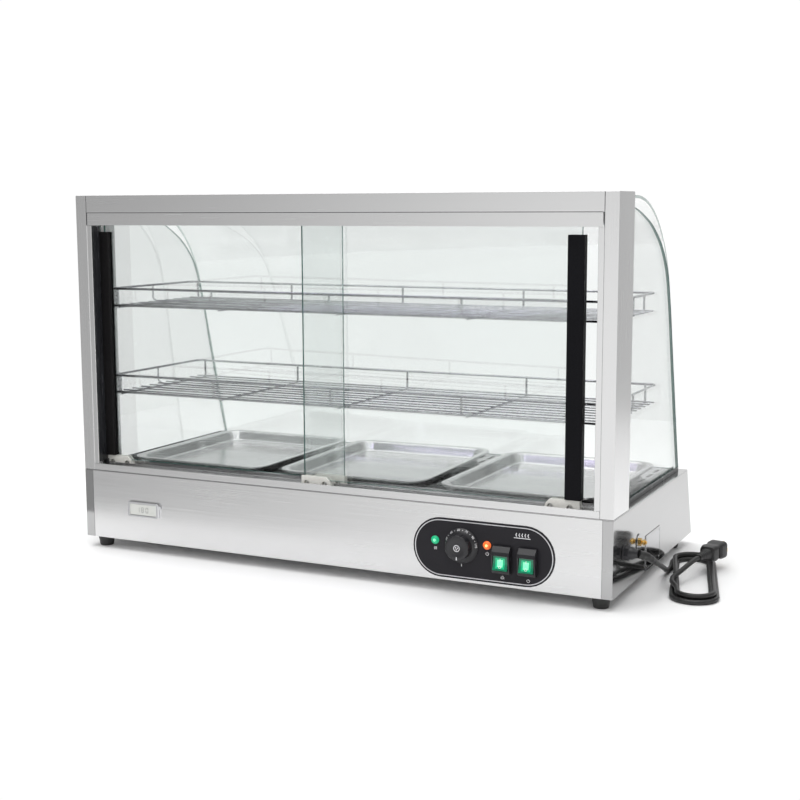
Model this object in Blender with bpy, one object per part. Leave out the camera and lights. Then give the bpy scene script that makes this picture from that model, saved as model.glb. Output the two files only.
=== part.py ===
"""Hot food display case: base cabinet, four-sided glass, two sliding doors, wire shelves and trays.

Lengths are in metres. The cabinet frame has X along the operator side, Y from the operator side
towards the customer, and Z up from the underside of the base cabinet.
"""

import math

import bmesh
import bpy
from mathutils import Matrix, Vector

WIDTH = 0.900
HEIGHT = 0.557
BASE_HEIGHT = 0.1124
DEPTH_TOP = 0.4075
DEPTH_BOTTOM = 0.444
FOOT_HEIGHT = 0.018
ORIGIN = Vector((0.456, 0.212, -FOOT_HEIGHT))

GAP = 0.0003
SHEET = 0.0012
RETURN = 0.0155

POST_WIDTH = 0.020
POST_DEPTH = 0.072
JAMB_WIDTH = 0.0285
SILL_TOP = 0.123
HEADER_BOTTOM = 0.5298
TRACK_BOTTOM = 0.510

SIDE_GLASS_OUT = 0.887
SIDE_GLASS_IN = 0.882
CURVED_END = 0.8855
GLASS_TOP = 0.553
CURVED_THICKNESS = 0.005
BEND_START = 0.1337
BEND_RADIUS = 0.200
BEND_SWEEP = 74.7

FRONT_TRACK = (0.0195, 0.0240)
REAR_TRACK = (0.0375, 0.0420)
DOOR_BOTTOM = 0.1255
DOOR_TOP = 0.5235
ROLLER_RADIUS = 0.0040
ROLLER_Z = 0.1203
ARCH_RADIUS = 0.0050
BRACKET_Z = (0.1176, 0.1315)

KNOB = (0.6752, 0.0538)
HEATING_LAMP = (0.6340, 0.0587)
POWER_LAMP = (0.7151, 0.0588)
LIGHT_SWITCH = (0.7387, 0.0367)
POWER_SWITCH = (0.7777, 0.0372)
ROCKER_PIVOT_Y = -0.0095
ROCKER_TILT = 10.0
PLATE = (0.5987, 0.8170, 0.0043, 0.0922)

TRAY_SIZE = (0.253, 0.310)
TRAY_HEIGHT = 0.0173
TRAYS = {
    "tray_left": (0.1826, 0.2005, 0.0),
    "tray_middle": (0.4574, 0.2040, 1.83),
    "tray_right": (0.7380, 0.2005, 0.0),
}

SHELVES = {
    "upper_shelf": (0.4065, 0.3790, 0.279, 10),
    "lower_shelf": (0.2635, 0.2360, 0.296, 11),
}
CROSS_WIRES = (0.042, 0.235, 0.448, 0.6615, 0.858)
FRONT_STUBS = (0.222, 0.434, 0.652)

GLAND = (0.052, 0.056)
EARTH = (0.1265, 0.0545)
CORD_RADIUS = 0.0037
CORD_ROUTE = (
    (0.9216, 0.0520, 0.0560),
    (0.9250, 0.0523, 0.0558),
    (0.9315, 0.0580, 0.0515),
    (0.9365, 0.0750, 0.0420),
    (0.9382, 0.1050, 0.0290),
    (0.9360, 0.1320, 0.0190),
    (0.9310, 0.1620, 0.0090),
    (0.9245, 0.1900, 0.0005),
    (0.9188, 0.2130, -0.0065),
)
HANK_ENDS = ((0.9385, 0.300), (0.9850, 0.118))
HANK_RADIUS = 0.0362
HANK_Z = (-0.0177, -0.0020)
PLUG_AT = (0.9709, 0.2810, 0.0113)
PLUG_TURN = -11.8


def clear_scene():
    for item in list(bpy.data.objects):
        bpy.data.objects.remove(item, do_unlink=True)


def material(name, colour, metallic=0.0, roughness=0.5, transmission=0.0, alpha=1.0):
    made = bpy.data.materials.new(name)
    made.use_nodes = True
    shader = made.node_tree.nodes["Principled BSDF"]
    shader.inputs["Base Color"].default_value = (*colour, 1.0)
    shader.inputs["Metallic"].default_value = metallic
    shader.inputs["Roughness"].default_value = roughness
    shader.inputs["Transmission Weight"].default_value = transmission
    shader.inputs["Alpha"].default_value = alpha
    return made


# Closed shapes. Each returns a mesh in the cabinet frame.


def mesh_from(points, faces):
    shape = bmesh.new()
    corners = [shape.verts.new(point) for point in points]
    for face in faces:
        shape.faces.new([corners[i] for i in face])
    bmesh.ops.recalc_face_normals(shape, faces=shape.faces)
    made = bpy.data.meshes.new("shape")
    shape.to_mesh(made)
    shape.free()
    return made


def loft(lower, upper):
    """Solid between two outlines with the same number of corners."""
    n = len(lower)
    faces = [tuple(range(n)), tuple(range(n, 2 * n))]
    faces += [(i, (i + 1) % n, n + (i + 1) % n, n + i) for i in range(n)]
    return mesh_from([*lower, *upper], faces)


def prism(outline, axis, low, high):
    """Flat outline pushed along an axis. The outline gives the other two coordinates in order."""
    place = {
        "X": lambda a, b, t: (t, a, b),
        "Y": lambda a, b, t: (a, t, b),
        "Z": lambda a, b, t: (a, b, t),
    }[axis]
    return loft([place(a, b, low) for a, b in outline], [place(a, b, high) for a, b in outline])


def box(x0, x1, y0, y1, z0, z1):
    return prism(((x0, y0), (x1, y0), (x1, y1), (x0, y1)), "Z", z0, z1)


def circle(a, b, radius, count, start=0.0):
    return [
        (
            a + radius * math.cos(start + 2 * math.pi * i / count),
            b + radius * math.sin(start + 2 * math.pi * i / count),
        )
        for i in range(count)
    ]


def rounded(x0, x1, y0, y1, radius, steps=4):
    """Rectangle outline with round corners."""
    outline = []
    for cx, cy, start in (
        (x1 - radius, y1 - radius, 0),
        (x0 + radius, y1 - radius, 90),
        (x0 + radius, y0 + radius, 180),
        (x1 - radius, y0 + radius, 270),
    ):
        for i in range(steps + 1):
            angle = math.radians(start + 90 * i / steps)
            outline.append((cx + radius * math.cos(angle), cy + radius * math.sin(angle)))
    return outline


def turned(profile, axis, centre, count=24):
    """Solid of revolution. The profile lists (position along the axis, radius), radius 0 at both ends."""
    points, rings = [], []
    for along, radius in profile:
        ring = []
        for a, b in circle(0, 0, radius, count) if radius > 0 else [(0.0, 0.0)]:
            ring.append(len(points))
            if axis == "X":
                points.append((along, centre[0] + a, centre[1] + b))
            elif axis == "Y":
                points.append((centre[0] + a, along, centre[1] + b))
            else:
                points.append((centre[0] + a, centre[1] + b, along))
        rings.append(ring)
    faces = []
    for low, high in zip(rings, rings[1:]):
        for i in range(count):
            j = (i + 1) % count
            if len(low) == 1:
                faces.append((low[0], high[j], high[i]))
            elif len(high) == 1:
                faces.append((low[i], low[j], high[0]))
            else:
                faces.append((low[i], low[j], high[j], high[i]))
    return mesh_from(points, faces)


def rod(path, radius, sides=6, closed=False):
    """Round bar along a path of points, with mitred corners."""
    path = [Vector(point) for point in path]
    n = len(path)
    rings = []
    side = None
    for i, point in enumerate(path):
        before = path[i - 1] if i or closed else None
        after = path[(i + 1) % n] if i < n - 1 or closed else None
        into = (point - before).normalized() if before else (after - point).normalized()
        out = (after - point).normalized() if after else into
        tangent = (into + out).normalized()
        if side is None:
            side = tangent.cross(Vector((0, 0, 1)))
            if side.length < 0.1:
                side = tangent.cross(Vector((0, 1, 0)))
        side = (side - tangent * side.dot(tangent)).normalized()
        up = tangent.cross(side)
        mitre = 1 / max(0.5, math.cos(into.angle(out, 0) / 2))
        bend = (out - into) if (out - into).length > 1e-6 else None
        ring = []
        for k in range(sides):
            angle = 2 * math.pi * (k + 0.5) / sides
            offset = side * math.cos(angle) * radius + up * math.sin(angle) * radius
            if bend:
                way = bend.normalized()
                offset += way * offset.dot(way) * (mitre - 1)
            ring.append(point + offset)
        rings.append(ring)
    points = [corner for ring in rings for corner in ring]
    faces = []
    for i in range(n if closed else n - 1):
        a, b = i * sides, ((i + 1) % n) * sides
        faces += [(a + k, a + (k + 1) % sides, b + (k + 1) % sides, b + k) for k in range(sides)]
    if not closed:
        faces += [tuple(range(sides)), tuple(range((n - 1) * sides, n * sides))]
    return mesh_from(points, faces)


def combined(base, joins=(), cuts=()):
    """Union of the base with some shapes, less the cutting shapes."""
    scene = bpy.context.scene
    work = bpy.data.objects.new("work", base)
    scene.collection.objects.link(work)
    helpers, groups = [], []
    for operation, shapes in (("UNION", joins), ("DIFFERENCE", cuts)):
        if not shapes:
            continue
        group = bpy.data.collections.new(operation.lower())
        scene.collection.children.link(group)
        groups.append(group)
        for shape in shapes:
            helper = bpy.data.objects.new("helper", shape)
            group.objects.link(helper)
            helpers.append(helper)
        step = work.modifiers.new(operation.lower(), "BOOLEAN")
        step.operation = operation
        step.solver = "EXACT"
        step.operand_type = "COLLECTION"
        step.collection = group
    bpy.context.view_layer.update()
    graph = bpy.context.evaluated_depsgraph_get()
    made = bpy.data.meshes.new_from_object(work.evaluated_get(graph))
    for item in [work, *helpers]:
        bpy.data.objects.remove(item, do_unlink=True)
    for group in groups:
        bpy.data.collections.remove(group)
    return made


def node(name, shape, surface, origin=(0, 0, 0)):
    """Named piece. Its origin is a point of the cabinet frame."""
    shape.transform(Matrix.Translation(-Vector(origin)))
    shape.materials.clear()
    shape.materials.append(surface)
    shape.name = name
    made = bpy.data.objects.new(name, shape)
    bpy.context.scene.collection.objects.link(made)
    made.location = Vector(origin) - ORIGIN
    return made


def mirrored(shape):
    """The same shape on the other side of the cabinet's middle."""
    made = shape.copy()
    made.transform(Matrix.Translation((WIDTH, 0, 0)) @ Matrix.Scale(-1, 4, (1, 0, 0)))
    made.flip_normals()
    return made


def rear_y(z):
    return DEPTH_BOTTOM + (DEPTH_TOP - DEPTH_BOTTOM) * z / BASE_HEIGHT


# Base cabinet.


def switch_opening(centre, x_half=0.0125, z_low=-0.0122, z_high=0.0133):
    return box(centre[0] - x_half, centre[0] + x_half, -0.01, 0.01, centre[1] + z_low, centre[1] + z_high)


def round_opening(centre, radius):
    return prism(circle(*centre, radius, 16), "Y", -0.01, 0.01)


def control_openings():
    return [
        round_opening(KNOB, 0.0045),
        round_opening(HEATING_LAMP, 0.0050),
        round_opening(POWER_LAMP, 0.0050),
        switch_opening(LIGHT_SWITCH),
        switch_opening(POWER_SWITCH),
    ]


def build_base(steel, polished, rubber):
    top = BASE_HEIGHT - SHEET - GAP
    front = box(RETURN + GAP, WIDTH - RETURN - GAP, 0, SHEET, 0, top)
    display = box(0.0908, 0.1432, -0.01, 0.01, 0.0444, 0.0633)
    node("front_panel", combined(front, cuts=[*control_openings(), display]), steel)

    def side_outline(z):
        rear = rear_y(z) - SHEET - GAP
        return [
            (x, y, z)
            for x, y in ((0, 0), (RETURN, 0), (RETURN, SHEET), (SHEET, SHEET), (SHEET, rear), (0, rear))
        ]

    side = loft(side_outline(0), side_outline(top))
    node("side_panel_right", mirrored(side), polished)
    node("side_panel_left", side, polished)

    def rear_outline(z):
        y = rear_y(z)
        return [(0, y - SHEET, z), (WIDTH, y - SHEET, z), (WIDTH, y, z), (0, y, z)]

    node("rear_panel", loft(rear_outline(0), rear_outline(top)), steel)
    inside = SHEET + GAP
    node("base_pan", box(inside, WIDTH - inside, inside, 0.4413, 0, SHEET), steel)
    build_deck(polished)
    for name, x, y in (
        ("foot_front_left", 0.0225, 0.022),
        ("foot_front_right", 0.8775, 0.022),
        ("foot_rear_left", 0.0225, 0.400),
        ("foot_rear_right", 0.8775, 0.400),
    ):
        profile = (
            (-FOOT_HEIGHT, 0),
            (-FOOT_HEIGHT, 0.0105),
            (-FOOT_HEIGHT + 0.001, 0.0113),
            (-GAP, 0.0140),
            (-GAP, 0),
        )
        node(name, turned(profile, "Z", (x, y), 20), rubber, (x, y, 0))


def build_deck(surface):
    """One sheet with rows of slots, built as a grid of cells."""
    slot, length = 0.0055, 0.060
    columns = [0.042 + 0.048 * i for i in range(18)]
    rows = (0.078, 0.176, 0.274)
    xs = sorted({0.0, WIDTH, *columns, *(x + slot for x in columns)})
    ys = sorted({0.0, DEPTH_TOP, *rows, *(y + length for y in rows)})
    low, high = BASE_HEIGHT - SHEET, BASE_HEIGHT
    shape = bmesh.new()
    corners = {}

    def corner(i, j, z):
        key = (i, j, z)
        if key not in corners:
            corners[key] = shape.verts.new((xs[i], ys[j], z))
        return corners[key]

    def solid(i, j):
        inside = 0 <= i < len(xs) - 1 and 0 <= j < len(ys) - 1
        return inside and not (xs[i] in columns and ys[j] in rows)

    for i in range(len(xs) - 1):
        for j in range(len(ys) - 1):
            if not solid(i, j):
                continue
            around = ((i, j), (i + 1, j), (i + 1, j + 1), (i, j + 1))
            shape.faces.new([corner(*c, high) for c in around])
            shape.faces.new([corner(*c, low) for c in reversed(around)])
            for (a, b), (c, d), (ni, nj) in (
                (around[0], around[1], (i, j - 1)),
                (around[1], around[2], (i + 1, j)),
                (around[2], around[3], (i, j + 1)),
                (around[3], around[0], (i - 1, j)),
            ):
                if not solid(ni, nj):
                    shape.faces.new([corner(a, b, low), corner(c, d, low), corner(c, d, high), corner(a, b, high)])
    bmesh.ops.recalc_face_normals(shape, faces=shape.faces)
    made = bpy.data.meshes.new("deck")
    shape.to_mesh(made)
    shape.free()
    node("deck_plate", made, surface)


def build_heating(element, steel, dark):
    """Looped element under the deck, held by one strap, and the thermostat behind the knob."""
    z = 0.070
    left, right = 0.120, 0.780
    path = [(right, 0.130, z), (left + 0.045, 0.130, z)]
    for i in range(1, 8):
        angle = math.radians(-90 - 180 * i / 8)
        path.append((left + 0.045 + 0.055 * math.cos(angle), 0.185 + 0.055 * math.sin(angle), z))
    path += [(left + 0.045, 0.240, z), (right, 0.240, z)]
    node("heater_element", rod(path, 0.0038, 8), element)
    strap = box(0.440, 0.460, 0.110, 0.260, SHEET + GAP, 0.0030)
    legs = [box(0.440, 0.460, y, y + 0.002, 0.0020, 0.0655) for y in (0.110, 0.258)]
    shelf = box(0.440, 0.460, 0.110, 0.260, 0.0640, 0.0658)
    node("heater_strap", combined(strap, joins=[*legs, shelf]), steel)
    x, zk = KNOB
    node("thermostat_body", box(x - 0.022, x + 0.022, 0.0030, 0.042, zk - 0.017, zk + 0.017), dark)


def build_controls(dark, chrome, green, amber, lens, steel, brass, rubber):
    x0, x1, z0, z1 = PLATE
    outline = rounded(x0, x1, z0, z1, (z1 - z0) / 2 - 0.0001, 8)
    plate = prism(outline, "Y", -0.0012, -GAP)
    node("control_plate", combined(plate, cuts=control_openings()), dark)
    for name, centre, surface in (("heating_lamp", HEATING_LAMP, green), ("power_lamp", POWER_LAMP, amber)):
        profile = (
            (-0.0058, 0),
            (-0.0056, 0.0030),
            (-0.0044, 0.0054),
            (-0.0030, 0.0062),
            (-0.0015, 0.0062),
            (-0.0015, 0.0046),
            (0.0180, 0.0046),
            (0.0180, 0),
        )
        node(name, turned(profile, "Y", centre, 20), surface)
    knob = turned(
        (
            (-0.0200, 0),
            (-0.0200, 0.0175),
            (-0.0190, 0.0185),
            (-0.0075, 0.0190),
            (-0.0060, 0.0215),
            (-0.0020, 0.0260),
            (-0.0015, 0.0260),
            (-0.0015, 0.0035),
            (0.0024, 0.0035),
            (0.0024, 0),
        ),
        "Y",
        KNOB,
        32,
    )
    pointer = box(KNOB[0] - 0.0008, KNOB[0] + 0.0008, -0.0203, -0.0180, KNOB[1] - 0.0170, KNOB[1] - 0.0080)
    node("thermostat_knob", combined(knob, joins=[pointer]), dark, (KNOB[0], 0, KNOB[1]))
    build_switches(dark, green)

    x0, x1, z0, z1 = 0.0868, 0.1471, 0.0414, 0.0663
    bezel = prism(rounded(x0, x1, z0, z1, 0.003, 3), "Y", -0.0048, -GAP)
    tab = box(x1 - 0.004, x1 + 0.003, -0.0040, -0.0012, z1 - 0.0085, z1 - 0.0035)
    window = box(0.0911, 0.1429, -0.01, 0.01, 0.0447, 0.0630)
    node("display_bezel", combined(bezel, joins=[tab], cuts=[window]), chrome)
    node("display_module", box(0.0915, 0.1425, -0.0038, 0.0150, 0.0451, 0.0626), lens)

    side = WIDTH + GAP
    y, z = EARTH
    bolt = turned(
        (
            (side, 0),
            (side, 0.0120),
            (side + 0.0012, 0.0120),
            (side + 0.0012, 0.0055),
            (side + 0.0042, 0.0055),
            (side + 0.0042, 0.0028),
            (0.9120, 0.0028),
            (0.9120, 0),
        ),
        "X",
        (y, z),
        18,
    )
    node("earth_bolt", bolt, brass)
    gland = turned(
        (
            (side, 0),
            (side, 0.0115),
            (side + 0.0020, 0.0115),
            (side + 0.0030, 0.0095),
            (0.9130, 0.0095),
            (0.9145, 0.0080),
            (0.9200, 0.0058),
            (0.9210, 0.0050),
            (0.9210, 0),
        ),
        "X",
        GLAND,
        20,
    )
    node("cord_gland", gland, rubber)
    node("rating_plate", box(side, side + 0.0006, 0.1625, 0.2419, 0.0020, 0.0550), steel)


def build_switches(dark, green):
    """Each rocker turns in a hooded housing that stands out of the panel."""
    for name, rocker_name, (x, z) in (
        ("light_switch_housing", "light_switch_rocker", LIGHT_SWITCH),
        ("power_switch_housing", "power_switch_rocker", POWER_SWITCH),
    ):
        hood = (
            (-0.0015, z - 0.0157),
            (-0.0015, z + 0.0238),
            (-0.0060, z + 0.0238),
            (-0.0120, z + 0.0165),
            (-0.0135, z + 0.0118),
            (-0.0105, z - 0.0118),
            (-0.0080, z - 0.0157),
        )
        front = prism(hood, "X", x - 0.0135, x + 0.0135)
        back = box(x - 0.0121, x + 0.0121, -0.0030, 0.0170, z - 0.0118, z + 0.0129)
        pocket = box(x - 0.0112, x + 0.0112, -0.0200, 0.0000, z - 0.0111, z + 0.0111)
        node(name, combined(front, joins=[back], cuts=[pocket]), dark)
        rocker = prism(
            (
                (-0.0030, -0.0104),
                (-0.0017, 0.0000),
                (-0.0030, 0.0104),
                (0.0050, 0.0098),
                (0.0050, -0.0098),
            ),
            "X",
            -0.0109,
            0.0109,
        )
        rocker.transform(Matrix.Rotation(-math.radians(ROCKER_TILT), 4, "X"))
        pivot = (x, ROCKER_PIVOT_Y, z)
        rocker.transform(Matrix.Translation(pivot))
        node(rocker_name, rocker, green, pivot)


# Glass case.


def build_frame(steel, seal):
    low = BASE_HEIGHT + GAP
    post = box(0, POST_WIDTH, 0, POST_DEPTH, low, HEIGHT)
    lip = box(POST_WIDTH - 0.0008, JAMB_WIDTH, 0.0005, 0.0020, SILL_TOP + GAP, TRACK_BOTTOM - GAP)
    hollow = box(SHEET, POST_WIDTH - SHEET, SHEET, POST_DEPTH - SHEET, low - 0.01, HEIGHT - SHEET)
    left = combined(combined(post, cuts=[hollow]), joins=[lip])
    node("post_right", mirrored(left), steel)
    node("post_left", left, steel)
    strip = box(POST_WIDTH + GAP, 0.0223, 0.0114, 0.0290, SILL_TOP + 0.0010, TRACK_BOTTOM - 0.0010)
    node("post_seal_right", mirrored(strip), seal)
    node("post_seal_left", strip, seal)

    left_end, right_end = POST_WIDTH + GAP, WIDTH - POST_WIDTH - GAP
    header = (
        (0, HEADER_BOTTOM),
        (0.0515, HEADER_BOTTOM),
        (0.0515, HEADER_BOTTOM + 0.0015),
        (0.0015, HEADER_BOTTOM + 0.0015),
        (0.0015, HEIGHT - 0.0015),
        (0.0705, HEIGHT - 0.0015),
        (0.0705, 0.5458),
        (0.0820, 0.5458),
        (0.0820, 0.5473),
        (POST_DEPTH, 0.5473),
        (POST_DEPTH, HEIGHT),
        (0, HEIGHT),
    )
    node("header", prism(header, "X", left_end, right_end), steel)
    top, flange = HEADER_BOTTOM - GAP, 0.0015
    track = (
        (0, TRACK_BOTTOM),
        (flange, TRACK_BOTTOM),
        (flange, top - 0.0020),
        (0.0300, top - 0.0020),
        (0.0300, 0.5140),
        (0.0315, 0.5140),
        (0.0315, top - 0.0020),
        (0.0500, top - 0.0020),
        (0.0500, 0.5120),
        (0.0515, 0.5120),
        (0.0515, top),
        (0, top),
    )
    node("upper_track", prism(track, "X", 0.0213, 0.8780), steel)
    floor, crown = low + 0.0015, ROLLER_Z - ROLLER_RADIUS - GAP
    sill = (
        (0, low),
        (0.0515, low),
        (0.0515, 0.1222),
        (0.0500, 0.1222),
        (0.0500, floor),
        (0.0412, floor),
        (0.0407, crown),
        (0.0388, crown),
        (0.0383, floor),
        (0.0315, floor),
        (0.0315, 0.1210),
        (0.0300, 0.1210),
        (0.0300, floor),
        (0.0232, floor),
        (0.0227, crown),
        (0.0208, crown),
        (0.0203, floor),
        (flange, floor),
        (flange, SILL_TOP),
        (0, SILL_TOP),
    )
    node("door_sill", prism(sill, "X", left_end, right_end), steel)


def curve_profile(inset):
    """Customer-side glass in (Y, Z), from the header over the bend and down to the deck."""
    centre = (BEND_START, GLASS_TOP - BEND_RADIUS)
    radius = BEND_RADIUS - inset
    points = [(POST_DEPTH + GAP, GLASS_TOP - inset)]
    for i in range(17):
        angle = math.radians(BEND_SWEEP * i / 16)
        points.append((centre[0] + radius * math.sin(angle), centre[1] + radius * math.cos(angle)))
    y, z = points[-1]
    slope = math.radians(90 - BEND_SWEEP)
    bottom = BASE_HEIGHT + GAP
    points.append((y + (z - bottom) * math.tan(slope), bottom))
    return points


def build_glass(clear, seal, white):
    outline = curve_profile(0) + curve_profile(CURVED_THICKNESS)[::-1]
    node("curved_glass", prism(outline, "X", WIDTH - CURVED_END, CURVED_END), clear)
    front = POST_DEPTH + GAP
    edge = [
        (0.3990, 0.1146),
        (0.3849, 0.1631),
        (0.3200, 0.4062),
        (0.3079, 0.4356),
        (0.2900, 0.4595),
        (0.2675, 0.4803),
        (0.2408, 0.4968),
        (0.2106, 0.5116),
        (0.1715, 0.5241),
        (0.1345, 0.5335),
        (0.1050, 0.5375),
        (front, 0.5390),
        (front, 0.1146),
    ]
    pane = prism(edge, "X", SIDE_GLASS_IN, SIDE_GLASS_OUT)
    node("side_glass_left", mirrored(pane), clear)
    node("side_glass_right", pane, clear)
    low = BASE_HEIGHT + GAP
    channel = (
        (0.8797, low),
        (0.8893, low),
        (0.8893, 0.1190),
        (SIDE_GLASS_OUT + GAP, 0.1190),
        (SIDE_GLASS_OUT + GAP, 0.1143),
        (SIDE_GLASS_IN - GAP, 0.1143),
        (SIDE_GLASS_IN - GAP, 0.1190),
        (0.8797, 0.1190),
    )
    strip = prism([(x, z) for x, z in channel], "Y", front, 0.3890)
    node("glass_seal_left", mirrored(strip), seal)
    node("glass_seal_right", strip, seal)

    housing = (
        (0.0518, 0.5293),
        (0.0518, 0.5180),
        (0.0530, 0.5180),
        (0.0530, 0.5281),
        (0.0690, 0.5281),
        (0.0690, 0.5180),
        (0.0702, 0.5180),
        (0.0702, 0.5293),
    )
    node("lamp_housing", prism(housing, "X", 0.200, 0.700), white)
    tube = (
        (0.205, 0),
        (0.205, 0.0055),
        (0.695, 0.0055),
        (0.695, 0),
    )
    node("lamp_tube", turned(tube, "X", (0.0610, 0.5220), 12), white)


# Doors.


def bracket(x0, x1, track, arches, chamfer):
    """Roller bracket: glass slot on top, two arches below. The end away from the handle is bevelled."""
    front, back = track[0] - 0.0040, track[1] + 0.0018
    low, high = BRACKET_Z
    cut = 0.008
    if chamfer == "left":
        outline = ((x0, low), (x1, low), (x1, high), (x0 + cut, high), (x0 + 0.002, high - 0.006))
    else:
        outline = ((x0, low), (x1, low), (x1 - 0.002, high - 0.006), (x1 - cut, high), (x0, high))
    slot = box(x0 - 0.01, x1 + 0.01, track[0] - GAP, track[1] + GAP, DOOR_BOTTOM - GAP, high + 0.01)
    cuts = [slot]
    for x in arches:
        arch = [(x + ARCH_RADIUS, low - 0.01), (x + ARCH_RADIUS, ROLLER_Z)]
        for i in range(1, 8):
            angle = math.pi * i / 8
            arch.append((x + ARCH_RADIUS * math.cos(angle), ROLLER_Z + 0.9 * ARCH_RADIUS * math.sin(angle)))
        arch += [(x - ARCH_RADIUS, ROLLER_Z), (x - ARCH_RADIUS, low - 0.01)]
        cuts.append(prism(arch, "Y", front - 0.01, back + 0.01))
    return combined(prism(outline, "Y", front, back), cuts=cuts)


def build_doors(clear, grip, cream, dark):
    for name, track, x0, x1 in (
        ("right_door_glass", FRONT_TRACK, 0.4040, 0.8430),
        ("left_door_glass", REAR_TRACK, 0.0245, 0.4635),
    ):
        node(name, box(x0, x1, *track, DOOR_BOTTOM, DOOR_TOP), clear)
    for name, track, x0, x1, open_end, web in (
        ("right_door_handle", FRONT_TRACK, 0.8245, 0.8485, "low", 0.8433),
        ("left_door_handle", REAR_TRACK, 0.0213, 0.0375, "high", 0.0242),
    ):
        front, back = track[0] - 0.0073, track[1] + 0.0018
        grip_bar = box(x0, x1, front, back, 0.1320, 0.4990)
        if open_end == "low":
            slot = box(x0 - 0.01, web, track[0] - GAP, track[1] + GAP, 0.1, 0.6)
        else:
            slot = box(web, x1 + 0.01, track[0] - GAP, track[1] + GAP, 0.1, 0.6)
        node(name, combined(grip_bar, cuts=[slot]), grip)
    for name, x0, x1, track, arches, chamfer, wheel in (
        ("right_door_bracket_left", 0.4015, 0.4520, FRONT_TRACK, (0.4104, 0.4415), "right", 0),
        ("right_door_bracket_right", 0.7940, 0.8460, FRONT_TRACK, (0.8030, 0.8320), "left", 1),
        ("left_door_bracket_left", 0.0214, 0.0690, REAR_TRACK, (0.0310, 0.0600), "right", 0),
        ("left_door_bracket_right", 0.4085, 0.4660, REAR_TRACK, (0.4260, 0.4550), "left", 1),
    ):
        node(name, bracket(x0, x1, track, arches, chamfer), cream)
        x = arches[wheel]
        middle = (track[0] + track[1]) / 2
        half = 0.0022
        profile = (
            (middle - half, 0),
            (middle - half, ROLLER_RADIUS - 0.0004),
            (middle - half + 0.0004, ROLLER_RADIUS),
            (middle + half - 0.0004, ROLLER_RADIUS),
            (middle + half, ROLLER_RADIUS - 0.0004),
            (middle + half, 0),
        )
        wheel_mesh = turned(profile, "Y", (x, ROLLER_Z), 20)
        node(name.replace("bracket", "roller"), wheel_mesh, dark, (x, middle, ROLLER_Z))


# Shelves and trays.


def build_shelf(name, rail_z, wire_z, rear, count, surface):
    """Wire floor with a guard rail above it, welded to two angle plates at the front corners."""
    left, right, front = 0.026, 0.874, 0.050
    loop = [(x, y, rail_z) for x, y in rounded(left, right, front, rear, 0.010, 3)]
    parts = []
    span = rear - front - 0.004
    for i in range(count):
        y = front + span * i / (count - 1)
        parts.append(rod([(left + 0.001, y, wire_z), (right - 0.001, y, wire_z)], 0.0020 if i == 0 else 0.0014, 6))
    for x in CROSS_WIRES:
        path = [(x, front - 0.0005, wire_z - 0.0026), (x, rear - 0.0045, wire_z - 0.0026)]
        path += [(x, rear - 0.0008, wire_z + 0.0020), (x, rear - 0.0008, rail_z)]
        parts.append(rod(path, 0.0017, 6))
    for x in (*FRONT_STUBS, 0.040, 0.860):
        parts.append(rod([(x, front, wire_z - 0.0005), (x, front, rail_z)], 0.0016, 6))
    for x in (0.042, 0.858):
        outward = -0.016 if x < 0.45 else 0.016
        y = (front + rear) / 2
        parts.append(rod([(x, y, wire_z - 0.0026), (x + outward, y, wire_z + 0.004), (x + outward, y, rail_z)], 0.0016, 6))
    for wall, inner, reach in ((POST_WIDTH + GAP, 0.0218, 0.0300), (0.8782, 0.8797, 0.8700)):
        low_x, high_x = min(wall, inner), max(wall, inner)
        parts.append(box(low_x, high_x, 0.0480, 0.0720, wire_z - 0.0040, rail_z + 0.0030))
        foot_low, foot_high = sorted((reach, (wall + inner) / 2))
        parts.append(box(foot_low, foot_high, 0.0480, 0.0720, wire_z - 0.0045, wire_z - 0.0009))
    node(name, combined(rod(loop, 0.0020, 6, closed=True), joins=parts), surface)


def tray_ring(half_x, half_y, radius, z, steps=4):
    return [(x, y, z) for x, y in rounded(-half_x, half_x, -half_y, half_y, radius, steps)]


def build_tray(name, x, y, turn, surface):
    """Shallow pan: flat rim with a turned-down edge, sloped walls, flat floor."""
    half_x, half_y = TRAY_SIZE[0] / 2, TRAY_SIZE[1] / 2
    floor = BASE_HEIGHT + GAP
    top = floor + TRAY_HEIGHT
    wall = 0.0009
    levels = (
        (0.0000, top - 0.0030, 0.0300),
        (0.0000, top - 0.0006, 0.0300),
        (0.0010, top, 0.0290),
        (0.0085, top, 0.0240),
        (0.0100, top - 0.0010, 0.0230),
        (0.0180, floor + 0.0016, 0.0190),
        (0.0200, floor + wall, 0.0180),
        (0.0195, floor, 0.0180),
        (0.0172, floor + 0.0010, 0.0190),
        (0.0092, top - 0.0016, 0.0235),
        (0.0082, top - wall, 0.0240),
        (0.0012, top - wall, 0.0285),
        (0.0009, top - 0.0030, 0.0290),
    )
    rings = [tray_ring(half_x - inset, half_y - inset, radius, z) for inset, z, radius in levels]
    n = len(rings[0])
    points = [point for ring in rings for point in ring]
    faces = []
    count = len(rings)
    for i in range(count):
        j = (i + 1) % count
        if i == 6:
            continue
        faces += [(i * n + k, i * n + (k + 1) % n, j * n + (k + 1) % n, j * n + k) for k in range(n)]
    faces += [tuple(range(6 * n, 7 * n)), tuple(range(7 * n, 8 * n))]
    shape = mesh_from(points, faces)
    shape.transform(Matrix.Translation((x, y, 0)) @ Matrix.Rotation(math.radians(turn), 4, "Z"))
    node(name, shape, surface, (x, y, floor))


# Mains cord.


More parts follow.
